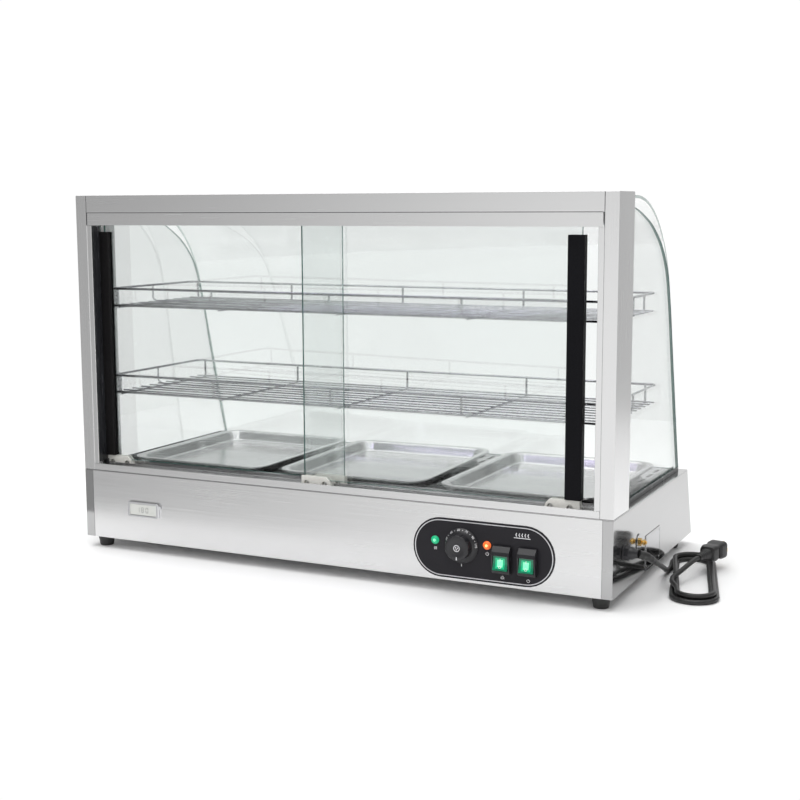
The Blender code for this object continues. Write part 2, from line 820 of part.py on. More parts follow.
def smooth(points, per_span):
    """Points read from a Catmull-Rom curve through the given ones."""
    points = [Vector(point) for point in points]
    padded = [2 * points[0] - points[1], *points, 2 * points[-1] - points[-2]]
    out = []
    for i in range(1, len(padded) - 2):
        a, b, c, d = padded[i - 1 : i + 3]
        for k in range(per_span):
            t = k / per_span
            out.append(
                0.5 * (2 * b + (c - a) * t + (2 * a - 5 * b + 4 * c - d) * t**2 + (3 * b - a - 3 * c + d) * t**3)
            )
    return [*out, points[-1]]


def build_cord(rubber, brass):
    node("cord_lead", rod(smooth(CORD_ROUTE, 3), CORD_RADIUS, 10), rubber)
    (ax, ay), (bx, by) = HANK_ENDS
    heading = math.atan2(by - ay, bx - ax)
    outline = []
    for x, y, start in ((bx, by, heading - math.pi / 2), (ax, ay, heading + math.pi / 2)):
        for i in range(13):
            angle = start + math.pi * i / 12
            outline.append((x + HANK_RADIUS * math.cos(angle), y + HANK_RADIUS * math.sin(angle)))
    node("cord_hank", prism(outline, "Z", *HANK_Z), rubber)

    body = prism(rounded(-0.0145, 0.0145, -0.0130, 0.0130, 0.006, 3), "Y", -0.016, 0.028)
    waist = turned(((-0.046, 0), (-0.046, 0.0050), (-0.016, 0.0085), (-0.012, 0.0085), (-0.012, 0)), "Y", (0, 0), 14)
    blades = [box(x - 0.0008, x + 0.0008, 0.024, 0.044, -0.0075, -0.0010) for x in (-0.0063, 0.0063)]
    pin = turned(((0.024, 0), (0.024, 0.0024), (0.0445, 0.0024), (0.046, 0.0014), (0.046, 0)), "Y", (0, 0.0065), 10)
    plug = combined(body, joins=[waist, *blades, pin])
    plug.transform(Matrix.Translation(PLUG_AT) @ Matrix.Rotation(math.radians(PLUG_TURN), 4, "Z"))
    node("plug", plug, rubber, PLUG_AT)


def build():
    clear_scene()
    steel = material("stainless_satin", (0.62, 0.62, 0.61), 1.0, 0.34)
    polished = material("stainless_polished", (0.66, 0.66, 0.66), 1.0, 0.16)
    wire = material("chrome_wire", (0.72, 0.72, 0.74), 1.0, 0.12)
    chrome = material("chrome_trim", (0.78, 0.78, 0.80), 1.0, 0.08)
    clear = material("clear_glass", (0.86, 0.95, 0.92), 0.0, 0.02, 0.9, 0.35)
    seal = material("black_seal", (0.02, 0.02, 0.022), 0.0, 0.45)
    grip = material("black_grip", (0.015, 0.015, 0.018), 0.0, 0.6)
    dark = material("black_plastic", (0.02, 0.02, 0.02), 0.0, 0.4)
    rubber = material("black_rubber", (0.025, 0.025, 0.025), 0.0, 0.7)
    cream = material("bracket_cream", (0.80, 0.78, 0.72), 0.0, 0.4)
    green = material("green_lens", (0.05, 0.55, 0.12), 0.0, 0.25)
    amber = material("amber_lens", (0.85, 0.45, 0.05), 0.0, 0.25)
    lens = material("display_face", (0.86, 0.87, 0.82), 0.0, 0.2)
    white = material("lamp_white", (0.90, 0.90, 0.92), 0.0, 0.4)
    brass = material("brass", (0.80, 0.58, 0.25), 1.0, 0.3)
    element = material("element_steel", (0.35, 0.33, 0.31), 1.0, 0.5)

    build_base(steel, polished, rubber)
    build_heating(element, steel, dark)
    build_controls(dark, chrome, green, amber, lens, steel, brass, rubber)
    build_frame(steel, seal)
    build_glass(clear, seal, white)
    build_doors(clear, grip, cream, dark)
    for name, (rail_z, wire_z, rear, count) in SHELVES.items():
        build_shelf(name, rail_z, wire_z, rear, count, wire)
    for name, (x, y, turn) in TRAYS.items():
        build_tray(name, x, y, turn, polished)
    build_cord(rubber, brass)


build()
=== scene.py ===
"""Looks of the hot food display case: glass, brushed steel, wire shelves, trays, controls and mains cord.

Lengths are in metres. Pieces are drawn in the cabinet frame (X along the operator side, Y towards the
customer, Z up from the underside of the base cabinet) and put in the row frame by CABINET.
"""

import math

import bmesh
import bpy
from mathutils import Matrix, Vector


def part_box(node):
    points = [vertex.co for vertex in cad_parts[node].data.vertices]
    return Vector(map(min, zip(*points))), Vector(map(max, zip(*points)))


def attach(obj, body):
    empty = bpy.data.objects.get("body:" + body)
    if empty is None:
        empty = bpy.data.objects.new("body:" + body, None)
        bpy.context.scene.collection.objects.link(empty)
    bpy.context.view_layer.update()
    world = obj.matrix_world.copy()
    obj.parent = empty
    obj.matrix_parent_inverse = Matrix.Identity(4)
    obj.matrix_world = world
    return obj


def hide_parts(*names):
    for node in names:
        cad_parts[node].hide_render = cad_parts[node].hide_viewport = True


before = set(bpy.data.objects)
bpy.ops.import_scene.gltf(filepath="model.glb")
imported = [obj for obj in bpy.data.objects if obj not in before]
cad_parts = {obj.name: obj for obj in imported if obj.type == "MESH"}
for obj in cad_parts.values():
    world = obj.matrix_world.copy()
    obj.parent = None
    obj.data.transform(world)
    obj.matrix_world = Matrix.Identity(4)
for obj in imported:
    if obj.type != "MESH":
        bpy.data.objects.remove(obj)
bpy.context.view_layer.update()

CABINET = Vector((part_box("rear_panel")[0].x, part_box("front_panel")[0].y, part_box("front_panel")[0].z))
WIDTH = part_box("rear_panel")[1].x - CABINET.x
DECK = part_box("deck_plate")[1].z - CABINET.z
GAP = 0.0003


# Placing and shading.


def piece(name, made, body, replaces=(), smooth=40.0, bevel=0.0, segments=2):
    """Object from a mesh in the cabinet frame. It rides on a body."""
    made.transform(Matrix.Translation(CABINET))
    made.name = name
    obj = bpy.data.objects.new(name, made)
    bpy.context.scene.collection.objects.link(obj)
    if smooth:
        made.shade_smooth()
        made.set_sharp_from_angle(angle=math.radians(smooth))
    if bevel:
        round_edges(obj, bevel, segments)
    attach(obj, body)
    if replaces:
        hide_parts(*replaces)
    return obj


def round_edges(obj, width, segments=2, angle=30.0):
    step = obj.modifiers.new("rounded_edges", "BEVEL")
    step.width = width
    step.segments = segments
    step.limit_method = "ANGLE"
    step.angle_limit = math.radians(angle)
    step.use_clamp_overlap = True
    step.harden_normals = True
    return step


def paint(mesh, *surfaces):
    for each in surfaces:
        mesh.materials.append(each)
    return mesh


def extent(name):
    """Low and high corner of a piece, in the cabinet's own frame."""
    return [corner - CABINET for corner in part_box(name)]


def mesh_of(points, faces, surfaces=(), tags=None):
    """Closed mesh with its faces turned outwards. tags gives each face its material's index."""
    shape = bmesh.new()
    corners = [shape.verts.new(point) for point in points]
    for i, face in enumerate(faces):
        shape.faces.new([corners[k] for k in face]).material_index = tags[i] if tags else 0
    bmesh.ops.recalc_face_normals(shape, faces=shape.faces)
    made = bpy.data.meshes.new("mesh")
    shape.to_mesh(made)
    shape.free()
    return paint(made, *surfaces)


def joined(meshes):
    """Several meshes in one, each with its own materials."""
    shape = bmesh.new()
    surfaces = []
    for each in meshes:
        first = len(shape.faces)
        shape.from_mesh(each)
        shape.faces.ensure_lookup_table()
        places = []
        for surface in each.materials:
            if surface not in surfaces:
                surfaces.append(surface)
            places.append(surfaces.index(surface))
        for face in shape.faces[first:]:
            face.material_index = places[face.material_index]
    made = bpy.data.meshes.new("mesh")
    shape.to_mesh(made)
    shape.free()
    return paint(made, *surfaces)


def moved(mesh, matrix):
    mesh.transform(matrix)
    if matrix.determinant() < 0:
        mesh.flip_normals()
    return mesh


def shifted(mesh, x=0.0, y=0.0, z=0.0):
    return moved(mesh, Matrix.Translation((x, y, z)))


def mirrored(mesh):
    return moved(mesh.copy(), Matrix.Translation((WIDTH, 0, 0)) @ Matrix.Scale(-1, 4, (1, 0, 0)))


# Outlines and closed shapes.


def circle(a, b, radius, count, start=0.0):
    turn = 2 * math.pi / count
    return [
        (a + radius * math.cos(start + turn * i), b + radius * math.sin(start + turn * i))
        for i in range(count)
    ]


def rounded(x0, x1, y0, y1, radius, steps=6):
    outline = []
    corners = (
        (x1 - radius, y1 - radius, 0),
        (x0 + radius, y1 - radius, 90),
        (x0 + radius, y0 + radius, 180),
        (x1 - radius, y0 + radius, 270),
    )
    for cx, cy, start in corners:
        for i in range(steps + 1):
            angle = math.radians(start + 90 * i / steps)
            outline.append((cx + radius * math.cos(angle), cy + radius * math.sin(angle)))
    return outline


def along(axis, a, b, t):
    return {"X": (t, a, b), "Y": (a, t, b), "Z": (a, b, t)}[axis]


def stack(levels, surfaces, closed_ends=True):
    """Skin over outlines with the same number of points, from first to last."""
    n = len(levels[0])
    points = [point for level in levels for point in level]
    faces = []
    for i in range(len(levels) - 1):
        a, b = i * n, (i + 1) * n
        faces += [(a + k, a + (k + 1) % n, b + (k + 1) % n, b + k) for k in range(n)]
    if closed_ends:
        faces += [tuple(range(n)), tuple(range((len(levels) - 1) * n, len(levels) * n))]
    return mesh_of(points, faces, surfaces)


def prism(outline, axis, low, high, *surfaces):
    return stack([[along(axis, a, b, t) for a, b in outline] for t in (low, high)], surfaces)


def block(x0, x1, y0, y1, z0, z1, surface):
    return prism(((x0, y0), (x1, y0), (x1, y1), (x0, y1)), "Z", z0, z1, surface)


def lathe(profile, axis, centre, surface, count=40):
    """Solid of revolution. The profile lists (position along the axis, radius), from end to end."""
    points, rings, faces = [], [], []
    for t, radius in profile:
        ring = circle(*centre, radius, count) if radius > 0 else [centre]
        rings.append(range(len(points), len(points) + len(ring)))
        points += [along(axis, a, b, t) for a, b in ring]
    for low, high in zip(rings, rings[1:]):
        for i in range(count):
            j = (i + 1) % count
            if len(low) == 1:
                faces.append((low[0], high[j], high[i]))
            elif len(high) == 1:
                faces.append((low[i], low[j], high[0]))
            else:
                faces.append((low[i], low[j], high[j], high[i]))
    return mesh_of(points, faces, (surface,))


def rod(axis, centre, low, high, radius, surface, count=24):
    """Plain round bar between two positions along the axis."""
    return lathe(((low, 0), (low, radius), (high, radius), (high, 0)), axis, centre, surface, count)


def spline(points, per_span):
    """Points read from a smooth curve through the given ones, which may be unevenly spaced."""
    points = [Vector(point) for point in points]
    padded = [2 * points[0] - points[1], *points, 2 * points[-1] - points[-2]]
    out = []
    for a, b, c, d in zip(padded, padded[1:], padded[2:], padded[3:]):
        before, span, after = (b - a).length, (c - b).length, (d - c).length
        leave = ((b - a) / before * span + (c - b) / span * before) / (before + span) * span
        arrive = ((c - b) / span * after + (d - c) / after * span) / (span + after) * span
        for k in range(per_span):
            t = k / per_span
            out.append(
                b * (2 * t**3 - 3 * t**2 + 1) + leave * (t**3 - 2 * t**2 + t)
                + c * (3 * t**2 - 2 * t**3) + arrive * (t**3 - t**2)
            )
    return [*out, points[-1]]


def cornered(points, radius, steps=5):
    """Path with each inner corner turned into an arc."""
    points = [Vector(point) for point in points]
    path = [points[0]]
    for before, corner, after in zip(points, points[1:], points[2:]):
        into, out = (corner - before).normalized(), (after - corner).normalized()
        reach = min(radius, 0.45 * (corner - before).length, 0.45 * (after - corner).length)
        start, end = corner - into * reach, corner + out * reach
        for i in range(steps + 1):
            t = i / steps
            path.append(start * (1 - t) ** 2 + corner * 2 * t * (1 - t) + end * t**2)
    return [*path, points[-1]]


def tube(path, radius, surface, sides=12, closed=False):
    """Round bar along a path. radius is a number, or one number for each point."""
    path = [Vector(point) for point in path]
    n = len(path)
    side, levels = None, []
    for i, point in enumerate(path):
        before = path[i - 1] if i or closed else point
        after = path[(i + 1) % n] if i < n - 1 or closed else point
        tangent = (after - before).normalized()
        if side is None:
            side = tangent.cross(Vector((0, 0, 1)))
            if side.length < 0.1:
                side = tangent.cross(Vector((0, 1, 0)))
        side = (side - tangent * side.dot(tangent)).normalized()
        up = tangent.cross(side)
        size = radius[i] if isinstance(radius, (list, tuple)) else radius
        levels.append([point + side * a + up * b for a, b in circle(0, 0, size, sides)])
    if closed:
        levels.append(levels[0])
    made = stack(levels, (surface,), closed_ends=not closed)
    if closed:
        weld(made)
    return made


def weld(mesh, distance=1e-6):
    shape = bmesh.new()
    shape.from_mesh(mesh)
    bmesh.ops.remove_doubles(shape, verts=shape.verts, dist=distance)
    shape.to_mesh(mesh)
    shape.free()
    return mesh


# Materials.


def greys(dark, light):
    return (dark, dark, dark), (light, light, light)


def filled(node, **values):
    """Sets the inputs of a node. An underscore stands for a space in the input's name."""
    for socket, value in values.items():
        node.inputs[socket.replace("_", " ")].default_value = value
    return node


def surface(
    name, colours, roughness, metallic=0.0, grain=(1, 1, 1), scale=60.0, bump=0.0, depth=0.0002, **fixed
):
    """Principled surface. A noise stretched along the grain runs colour and roughness between two values."""
    made = bpy.data.materials.new(name)
    made.use_nodes = True
    nodes, links = made.node_tree.nodes, made.node_tree.links
    shader = nodes["Principled BSDF"]
    place = nodes.new("ShaderNodeTexCoord")
    stretch = filled(nodes.new("ShaderNodeMapping"), Scale=grain)
    links.new(place.outputs["Object"], stretch.inputs["Vector"])
    noise = filled(nodes.new("ShaderNodeTexNoise"), Scale=scale, Detail=4.0)
    links.new(stretch.outputs["Vector"], noise.inputs["Vector"])
    cloud = filled(nodes.new("ShaderNodeTexNoise"), Scale=7.0, Detail=3.0)
    links.new(place.outputs["Object"], cloud.inputs["Vector"])
    both = nodes.new("ShaderNodeMath")
    both.operation = "MULTIPLY_ADD"
    both.inputs[1].default_value = 0.45
    links.new(cloud.outputs["Fac"], both.inputs[0])
    links.new(noise.outputs["Fac"], both.inputs[2])
    spread = filled(nodes.new("ShaderNodeMapRange"), From_Min=0.45, From_Max=1.0)
    links.new(both.outputs["Value"], spread.inputs["Value"])
    blend = nodes.new("ShaderNodeMix")
    blend.data_type = "RGBA"
    blend.inputs[6].default_value = (*colours[0], 1)
    blend.inputs[7].default_value = (*colours[1], 1)
    links.new(spread.outputs["Result"], blend.inputs[0])
    links.new(blend.outputs[2], shader.inputs["Base Color"])
    rough = filled(nodes.new("ShaderNodeMapRange"), To_Min=roughness[0], To_Max=roughness[1])
    links.new(spread.outputs["Result"], rough.inputs["Value"])
    links.new(rough.outputs["Result"], shader.inputs["Roughness"])
    filled(shader, Metallic=metallic, **fixed)
    if bump:
        relief = filled(nodes.new("ShaderNodeBump"), Strength=bump, Distance=depth)
        links.new(noise.outputs["Fac"], relief.inputs["Height"])
        links.new(relief.outputs["Normal"], shader.inputs["Normal"])
    return made


def shining(colour, strength):
    return {"Emission_Color": (*colour, 1), "Emission_Strength": strength}


def steel(name, grain, tone=0.70, rough=(0.22, 0.28), bump=0.03):
    light = min(1.0, tone + 0.03)
    return surface(
        name, ((tone, tone, tone), (light, light, light * 1.005)), rough, 1.0, grain, 60.0, bump, 0.00005
    )


STEEL_X = steel("satin_steel_along_x", (0.10, 12, 12))
STEEL_Z = steel("satin_steel_along_z", (12, 12, 0.10))
STEEL_Y = steel("polished_steel_along_y", (14, 0.15, 14), 0.42, (0.06, 0.11), 0.02)
DECK_STEEL = steel("polished_deck_steel", (0.12, 12, 12), 0.44, (0.10, 0.18), 0.03)
TRAY_STEEL = steel("tray_steel", (0.5, 4, 4), 0.52, (0.14, 0.24), 0.08)
WIRE = surface(
    "bright_wire", ((0.32, 0.32, 0.33), (0.48, 0.48, 0.50)), (0.06, 0.14), 1.0, (2, 2, 2), 80.0, 0.05
)
CHROME = surface("chrome", ((0.80, 0.80, 0.82), (0.86, 0.86, 0.88)), (0.04, 0.09), 1.0)
SCREW_STEEL = surface("screw_steel", greys(0.50, 0.62), (0.22, 0.35), 1.0, scale=300.0)
BRASS = surface("brass", ((0.72, 0.46, 0.14), (0.86, 0.60, 0.22)), (0.16, 0.30), 1.0, scale=400.0, bump=0.1)
GLASS = surface(
    "clear_glass", ((0.58, 0.67, 0.64), (0.60, 0.69, 0.66)), (0.0, 0.004),
    Transmission_Weight=1.0, IOR=1.45, Alpha=0.22,
)
GLASS_EDGE = surface("glass_edge", ((0.03, 0.09, 0.08), (0.07, 0.16, 0.14)), (0.20, 0.30), IOR=1.3)
GLASS_EDGE_PALE = surface(
    "pale_glass_edge", ((0.36, 0.46, 0.43), (0.46, 0.55, 0.52)), (0.15, 0.25), IOR=1.3, Alpha=0.8
)
SEAL = surface(
    "black_seal", ((0.016, 0.017, 0.019), (0.035, 0.036, 0.040)), (0.16, 0.30), grain=(1, 1, 0.1), scale=200.0
)
GRIP = surface(
    "black_grip", ((0.004, 0.004, 0.005), (0.010, 0.010, 0.012)), (0.35, 0.50), scale=500.0, bump=0.2,
    Specular_IOR_Level=0.06
)
KNURL = surface(
    "knurled_grip", ((0.004, 0.004, 0.005), (0.020, 0.019, 0.019)), (0.45, 0.7), scale=900.0, bump=0.4,
    Specular_IOR_Level=0.12
)
PLASTIC = surface(
    "black_plastic", ((0.012, 0.012, 0.014), (0.022, 0.022, 0.025)), (0.28, 0.42), scale=700.0, bump=0.12
)
PLATE = surface(
    "plate_face", ((0.013, 0.012, 0.015), (0.019, 0.018, 0.022)), (0.34, 0.46), scale=900.0, bump=0.15,
    Specular_IOR_Level=0.2
)
RUBBER = surface("black_rubber", greys(0.012, 0.028), (0.34, 0.52), scale=400.0, bump=0.15)
CREAM = surface(
    "bracket_cream", ((0.74, 0.73, 0.68), (0.84, 0.83, 0.79)), (0.30, 0.42), scale=300.0, bump=0.05
)
ROLLER = surface("roller_nylon", ((0.62, 0.62, 0.60), (0.76, 0.76, 0.74)), (0.30, 0.45), scale=500.0)
GREEN = surface(
    "green_lens", ((0.0, 0.34, 0.15), (0.01, 0.46, 0.22)), (0.12, 0.22), scale=250.0,
    Coat_Weight=0.5, **shining((0.0, 0.75, 0.32), 0.22),
)
GREEN_DEEP = surface(
    "green_frame", ((0.0, 0.16, 0.08), (0.01, 0.24, 0.12)), (0.18, 0.30), scale=250.0, Coat_Weight=0.4
)
AMBER = surface(
    "amber_lens", ((0.80, 0.10, 0.02), (0.90, 0.20, 0.04)), (0.15, 0.25), scale=250.0,
    Coat_Weight=0.5, **shining((1.0, 0.20, 0.03), 0.35),
)
AMBER_CORE = surface(
    "amber_core", ((0.95, 0.62, 0.20), (1.0, 0.72, 0.30)), (0.2, 0.3), scale=250.0,
    **shining((1.0, 0.62, 0.22), 0.7),
)
GREEN_CORE = surface(
    "green_core", ((0.20, 0.75, 0.45), (0.30, 0.85, 0.55)), (0.2, 0.3), scale=250.0,
    **shining((0.15, 0.9, 0.45), 0.45),
)
PRINT = surface("white_print", ((0.78, 0.78, 0.80), (0.88, 0.88, 0.90)), (0.45, 0.55), scale=900.0)
SILVER = surface("silver_line", ((0.62, 0.62, 0.64), (0.74, 0.74, 0.76)), (0.25, 0.35), 0.8, scale=600.0)
LCD = surface(
    "display_glass", ((0.66, 0.67, 0.64), (0.72, 0.73, 0.70)), (0.08, 0.14), scale=200.0, Coat_Weight=0.6
)
LCD_INK = surface("display_marks", ((0.05, 0.06, 0.06), (0.09, 0.10, 0.09)), (0.3, 0.4), scale=600.0)
WHITE = surface("lamp_enamel", ((0.80, 0.80, 0.82), (0.88, 0.88, 0.90)), (0.28, 0.40), scale=150.0)
TUBE_LIGHT = surface(
    "lamp_tube_glow", ((0.90, 0.88, 1.0), (0.95, 0.93, 1.0)), (0.3, 0.4),
    **shining((0.80, 0.74, 1.0), 6.0),
)
ELEMENT = surface(
    "heater_sheath", ((0.20, 0.18, 0.17), (0.34, 0.32, 0.30)), (0.35, 0.55), 1.0, scale=120.0, bump=0.1
)
LABEL = surface("label_silver", ((0.42, 0.42, 0.43), (0.47, 0.47, 0.48)), (0.08, 0.14), 1.0, scale=500.0)


# Camera, floor and light.

BACKDROP = 1.02
LEFT_TONE = 0.42
RIGHT_TONE = 1.22
RAISED_TONE = 0.20
BESIDE_TONE = 0.32
TOP_POWER = 36
FRONT_POWER = 7


def place_camera():
    yaw, pitch, roll = 0.45090, 0.13940, -0.0032
    forward = Vector((-math.sin(yaw) * math.cos(pitch), math.cos(yaw) * math.cos(pitch), -math.sin(pitch)))
    level = Vector((math.cos(yaw), math.sin(yaw), 0))
    upright = level.cross(forward)
    right = level * math.cos(roll) + upright * math.sin(roll)
    up = upright * math.cos(roll) - level * math.sin(roll)
    lens = bpy.data.cameras.new("camera")
    lens.lens = 61.21
    lens.sensor_width = 36.0
    camera = bpy.data.objects.new("camera", lens)
    camera.matrix_world = Matrix.Translation((0.9725, -1.9708, 0.5520)) @ Matrix(
        [(right[i], up[i], -forward[i]) for i in range(3)]
    ).to_4x4()
    bpy.context.scene.collection.objects.link(camera)
    bpy.context.scene.camera = camera


def softbox(name, place, target, size, power, mirrored_by_steel=True):
    lamp = bpy.data.lights.new(name, "AREA")
    lamp.shape = "RECTANGLE"
    lamp.size, lamp.size_y = size
    lamp.energy = power
    obj = bpy.data.objects.new(name, lamp)
    obj.location = place
    obj.rotation_mode = "QUATERNION"
    obj.rotation_quaternion = (Vector(target) - Vector(place)).to_track_quat("-Z", "Y")
    obj.visible_camera = False
    obj.visible_glossy = mirrored_by_steel
    bpy.context.scene.collection.objects.link(obj)


def studio():
    """White room with grey drapes: the steel mirrors a gradient in front and a darker side on the right."""
    world = bpy.data.worlds.new("studio")
    bpy.context.scene.world = world
    world.use_nodes = True
    nodes, links = world.node_tree.nodes, world.node_tree.links
    place = nodes.new("ShaderNodeTexCoord")
    split = nodes.new("ShaderNodeSeparateXYZ")
    links.new(place.outputs["Generated"], split.inputs[0])

    def connect(value, socket):
        if isinstance(value, (int, float)):
            socket.default_value = value
        else:
            links.new(value, socket)

    def ramp(axis, start, end, low, high):
        made = nodes.new("ShaderNodeMapRange")
        made.interpolation_type = "SMOOTHSTEP"
        filled(made, From_Min=start, From_Max=end, To_Min=low, To_Max=high)
        links.new(split.outputs[axis], made.inputs["Value"])
        return made.outputs["Result"]

    def times(a, b):
        made = nodes.new("ShaderNodeMath")
        made.operation = "MULTIPLY"
        connect(a, made.inputs[0])
        connect(b, made.inputs[1])
        return made.outputs["Value"]

    def mix(a, b, share):
        made = nodes.new("ShaderNodeMix")
        connect(share, made.inputs[0])
        connect(a, made.inputs[2])
        connect(b, made.inputs[3])
        return made.outputs[0]

    front = ramp("Y", -0.20, 0.20, 1.0, 0.0)
    raised = times(ramp("Z", 0.02, 0.18, 0.0, 1.0), ramp("Z", 0.55, 0.80, 1.0, 0.0))
    beside = times(
        times(ramp("X", 0.15, 0.40, 0.0, 1.0), ramp("Y", -0.10, 0.20, 0.0, 1.0)),
        ramp("Z", 0.5, 0.8, 1.0, 0.0)
    )
    tone = mix(1.0, ramp("X", -0.72, -0.20, LEFT_TONE, RIGHT_TONE), front)
    tone = mix(tone, RAISED_TONE, times(front, raised))
    tone = mix(tone, BESIDE_TONE, beside)
    seen = nodes.new("ShaderNodeLightPath").outputs["Is Camera Ray"]
    links.new(mix(tone, BACKDROP, seen), nodes["Background"].inputs["Color"])

    floor = mesh_of(
        [(-1.3, -0.42, 0), (1.3, -0.42, 0), (1.3, 1.5, 0), (-1.3, 1.5, 0)],
        [(0, 1, 2, 3)],
        (surface("pale_floor", greys(0.95, 0.97), (0.7, 0.8), scale=3.0),),
    )
    ground = bpy.data.objects.new("floor", floor)
    bpy.context.scene.collection.objects.link(ground)
    softbox("top_light", (-0.2, -0.2, 2.3), (0, 0, 0.2), (2.6, 2.2), TOP_POWER)
    softbox("front_fill", (0.1, -1.5, 1.0), (0.05, -0.35, 0.0), (2.2, 1.0), FRONT_POWER, False)
    bpy.context.scene.view_settings.view_transform = "Standard"


# Mains cord.

CORD_RADIUS = 0.0037
CORD_LEAD = (
    (0.9216, 0.0520, 0.0560),
    (0.9306, 0.0590, 0.0520),
    (0.9365, 0.0750, 0.0425),
    (0.9382, 0.1050, 0.0290),
    (0.9360, 0.1320, 0.0190),
    (0.9310, 0.1620, 0.0090),
    (0.9245, 0.1900, 0.0005),
    (0.9188, 0.2130, -0.0065),
)
HANK_FAR = Vector((0.9385, 0.300, 0))
HANK_NEAR = Vector((0.9850, 0.118, 0))
HANK_FLOOR = -0.0143
PLUG_AT = Vector((0.9709, 0.2810, 0.0113))
PLUG_TURN = -11.8
PLUG_TAIL = -0.046


def plug_matrix():
    return Matrix.Translation(PLUG_AT) @ Matrix.Rotation(math.radians(PLUG_TURN), 4, "Z")


def hank_points():
    """Laps round two ends, clockwise from above. Each has a half width and a height above the floor."""
    out = (HANK_FAR - HANK_NEAR).normalized()
    side = Vector((out.y, -out.x, 0))
    run = HANK_FAR - HANK_NEAR
    laps = ((0.0317, 0.0), (0.0241, 0.0), (0.0273, 0.0074), (0.0240, 0.0074))
    shares = (0.05, 0.25, 0.5, 0.75, 0.95)

    def at(centre, angle, half, lift):
        turned = -side * math.cos(angle) + out * math.sin(angle)
        return centre + turned * half + Vector((0, 0, HANK_FLOOR + lift))

    def ease(t):
        t = min(1.0, t)
        return t * t * (3 - 2 * t)

    points = []
    for (half, lift), (next_half, next_lift) in zip(laps, laps[1:]):
        last = (next_half, next_lift) == laps[-1]
        points += [at(HANK_FAR, math.pi * i / 8, half, lift) for i in range(9)]
        points += [at(HANK_FAR - run * share, math.pi, half, lift) for share in shares]
        for i in range(9):
            narrowed = half + (next_half - half) * i / 8 if last else half
            points.append(at(HANK_NEAR, math.pi + math.pi * i / 8, narrowed, lift))
        if not last:
            for share in shares:
                eased = half + (next_half - half) * ease(share)
                points.append(
                    at(HANK_NEAR + run * share, 0.0, eased, lift + (next_lift - lift) * ease(3 * share))
                )
    points.append(at(HANK_NEAR + run * 0.05, 0.0, 0.0242, 0.0078))
    return points


def build_cord():
    tail = plug_matrix() @ Vector((0, PLUG_TAIL, 0))
    ahead = (plug_matrix().to_3x3() @ Vector((0, 1, 0))).normalized()
    rise = [
        tail - ahead * 0.075 + Vector((-0.0045, 0, -0.0150)),
        tail - ahead * 0.050 + Vector((-0.0022, 0, -0.0085)),
        tail - ahead * 0.025 + Vector((-0.0005, 0, -0.0025)),
        tail - ahead * 0.008,
        tail + ahead * 0.004,
    ]
    settle = [
        Vector((0.9163, 0.2340, -0.0118)), Vector((0.9142, 0.2580, -0.0141)),
        Vector((0.9108, 0.2800, -0.0143))
    ]
    route = spline([*CORD_LEAD, *settle, *hank_points(), *rise], 4)
    line = bpy.data.curves.new("cord", "CURVE")
    line.dimensions = "3D"
    run = line.splines.new("POLY")
    run.points.add(len(route) - 1)
    for point, place in zip(run.points, route):
        point.co = (*(place + CABINET), 1)
    line.bevel_depth = CORD_RADIUS
    line.bevel_resolution = 4
    line.use_fill_caps = True
    line.materials.append(RUBBER)
    cord = bpy.data.objects.new("mains_cord", line)
    bpy.context.scene.collection.objects.link(cord)
    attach(cord, "cabinet")
    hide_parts("cord_lead", "cord_hank")

    sleeve = spline(CORD_LEAD[:5], 8)[:20]
    taper = [0.0062 - 0.0019 * i / (len(sleeve) - 1) for i in range(len(sleeve))]
    ribbed = [size + (0.0006 if i % 4 < 2 and 2 < i < 17 else 0.0) for i, size in enumerate(taper)]
    relief = piece("strain_relief", tube(sleeve, ribbed, RUBBER, 24), "cabinet")
    plug = build_plug()


def build_plug():
    """Moulded plug: ridged tail, waisted body, two flat blades and an earth pin."""
    stations = (
        (PLUG_TAIL, 0.0052, 0.0050, 0.0048),
        (-0.0440, 0.0056, 0.0054, 0.0052),
        (-0.0250, 0.0072, 0.0068, 0.0064),
        (-0.0160, 0.0086, 0.0080, 0.0060),
        (-0.0145, 0.0118, 0.0108, 0.0060),
        (-0.0060, 0.0135, 0.0122, 0.0060),
        (0.0020, 0.0128, 0.0112, 0.0056),
        (0.0100, 0.0128, 0.0112, 0.0056),
        (0.0150, 0.0143, 0.0128, 0.0060),
        (0.0262, 0.0145, 0.0130, 0.0060),
        (0.0280, 0.0135, 0.0120, 0.0055),
    )
    levels = [[along("Y", a, b, t) for a, b in rounded(-w, w, -h, h, r, 6)] for t, w, h, r in stations]
    body = [stack(levels, (RUBBER,))]
    for i in range(5):
        t = -0.0410 + 0.0048 * i
        width = 0.0064 + 0.0004 * i
        body.append(
            lathe(
                ((t, 0), (t, width), (t + 0.0020, width + 0.0002), (t + 0.0020, 0)), "Y", (0, 0), RUBBER, 24
            )
        )
    for i in range(4):
        for way in (-1, 1):
            t = 0.0010 + 0.0030 * i
            body.append(
                shifted(block(-0.0009, 0.0009, t, t + 0.0014, -0.0080, 0.0080, RUBBER), x=way * 0.0132)
            )
    made = moved(joined(body), plug_matrix())
    shell = piece("plug_body", made, "cabinet", ("plug",), bevel=0.0004)
    pins = []
    for x in (-0.0063, 0.0063):
        outline = rounded(0.020, 0.044, -0.0075, -0.0010, 0.0012, 4)
        pins.append(shifted(prism(outline, "X", -0.0008, 0.0008, BRASS), x=x))
    earth = ((0.022, 0), (0.022, 0.0024), (0.0440, 0.0024), (0.0455, 0.0015), (0.046, 0))
    pins.append(lathe(earth, "Y", (0, 0.0065), BRASS, 20))
    metal = piece("plug_pins", moved(joined(pins), plug_matrix()), "cabinet")
    return [shell, metal]


# Glass.

GLASS_STEPS = 48


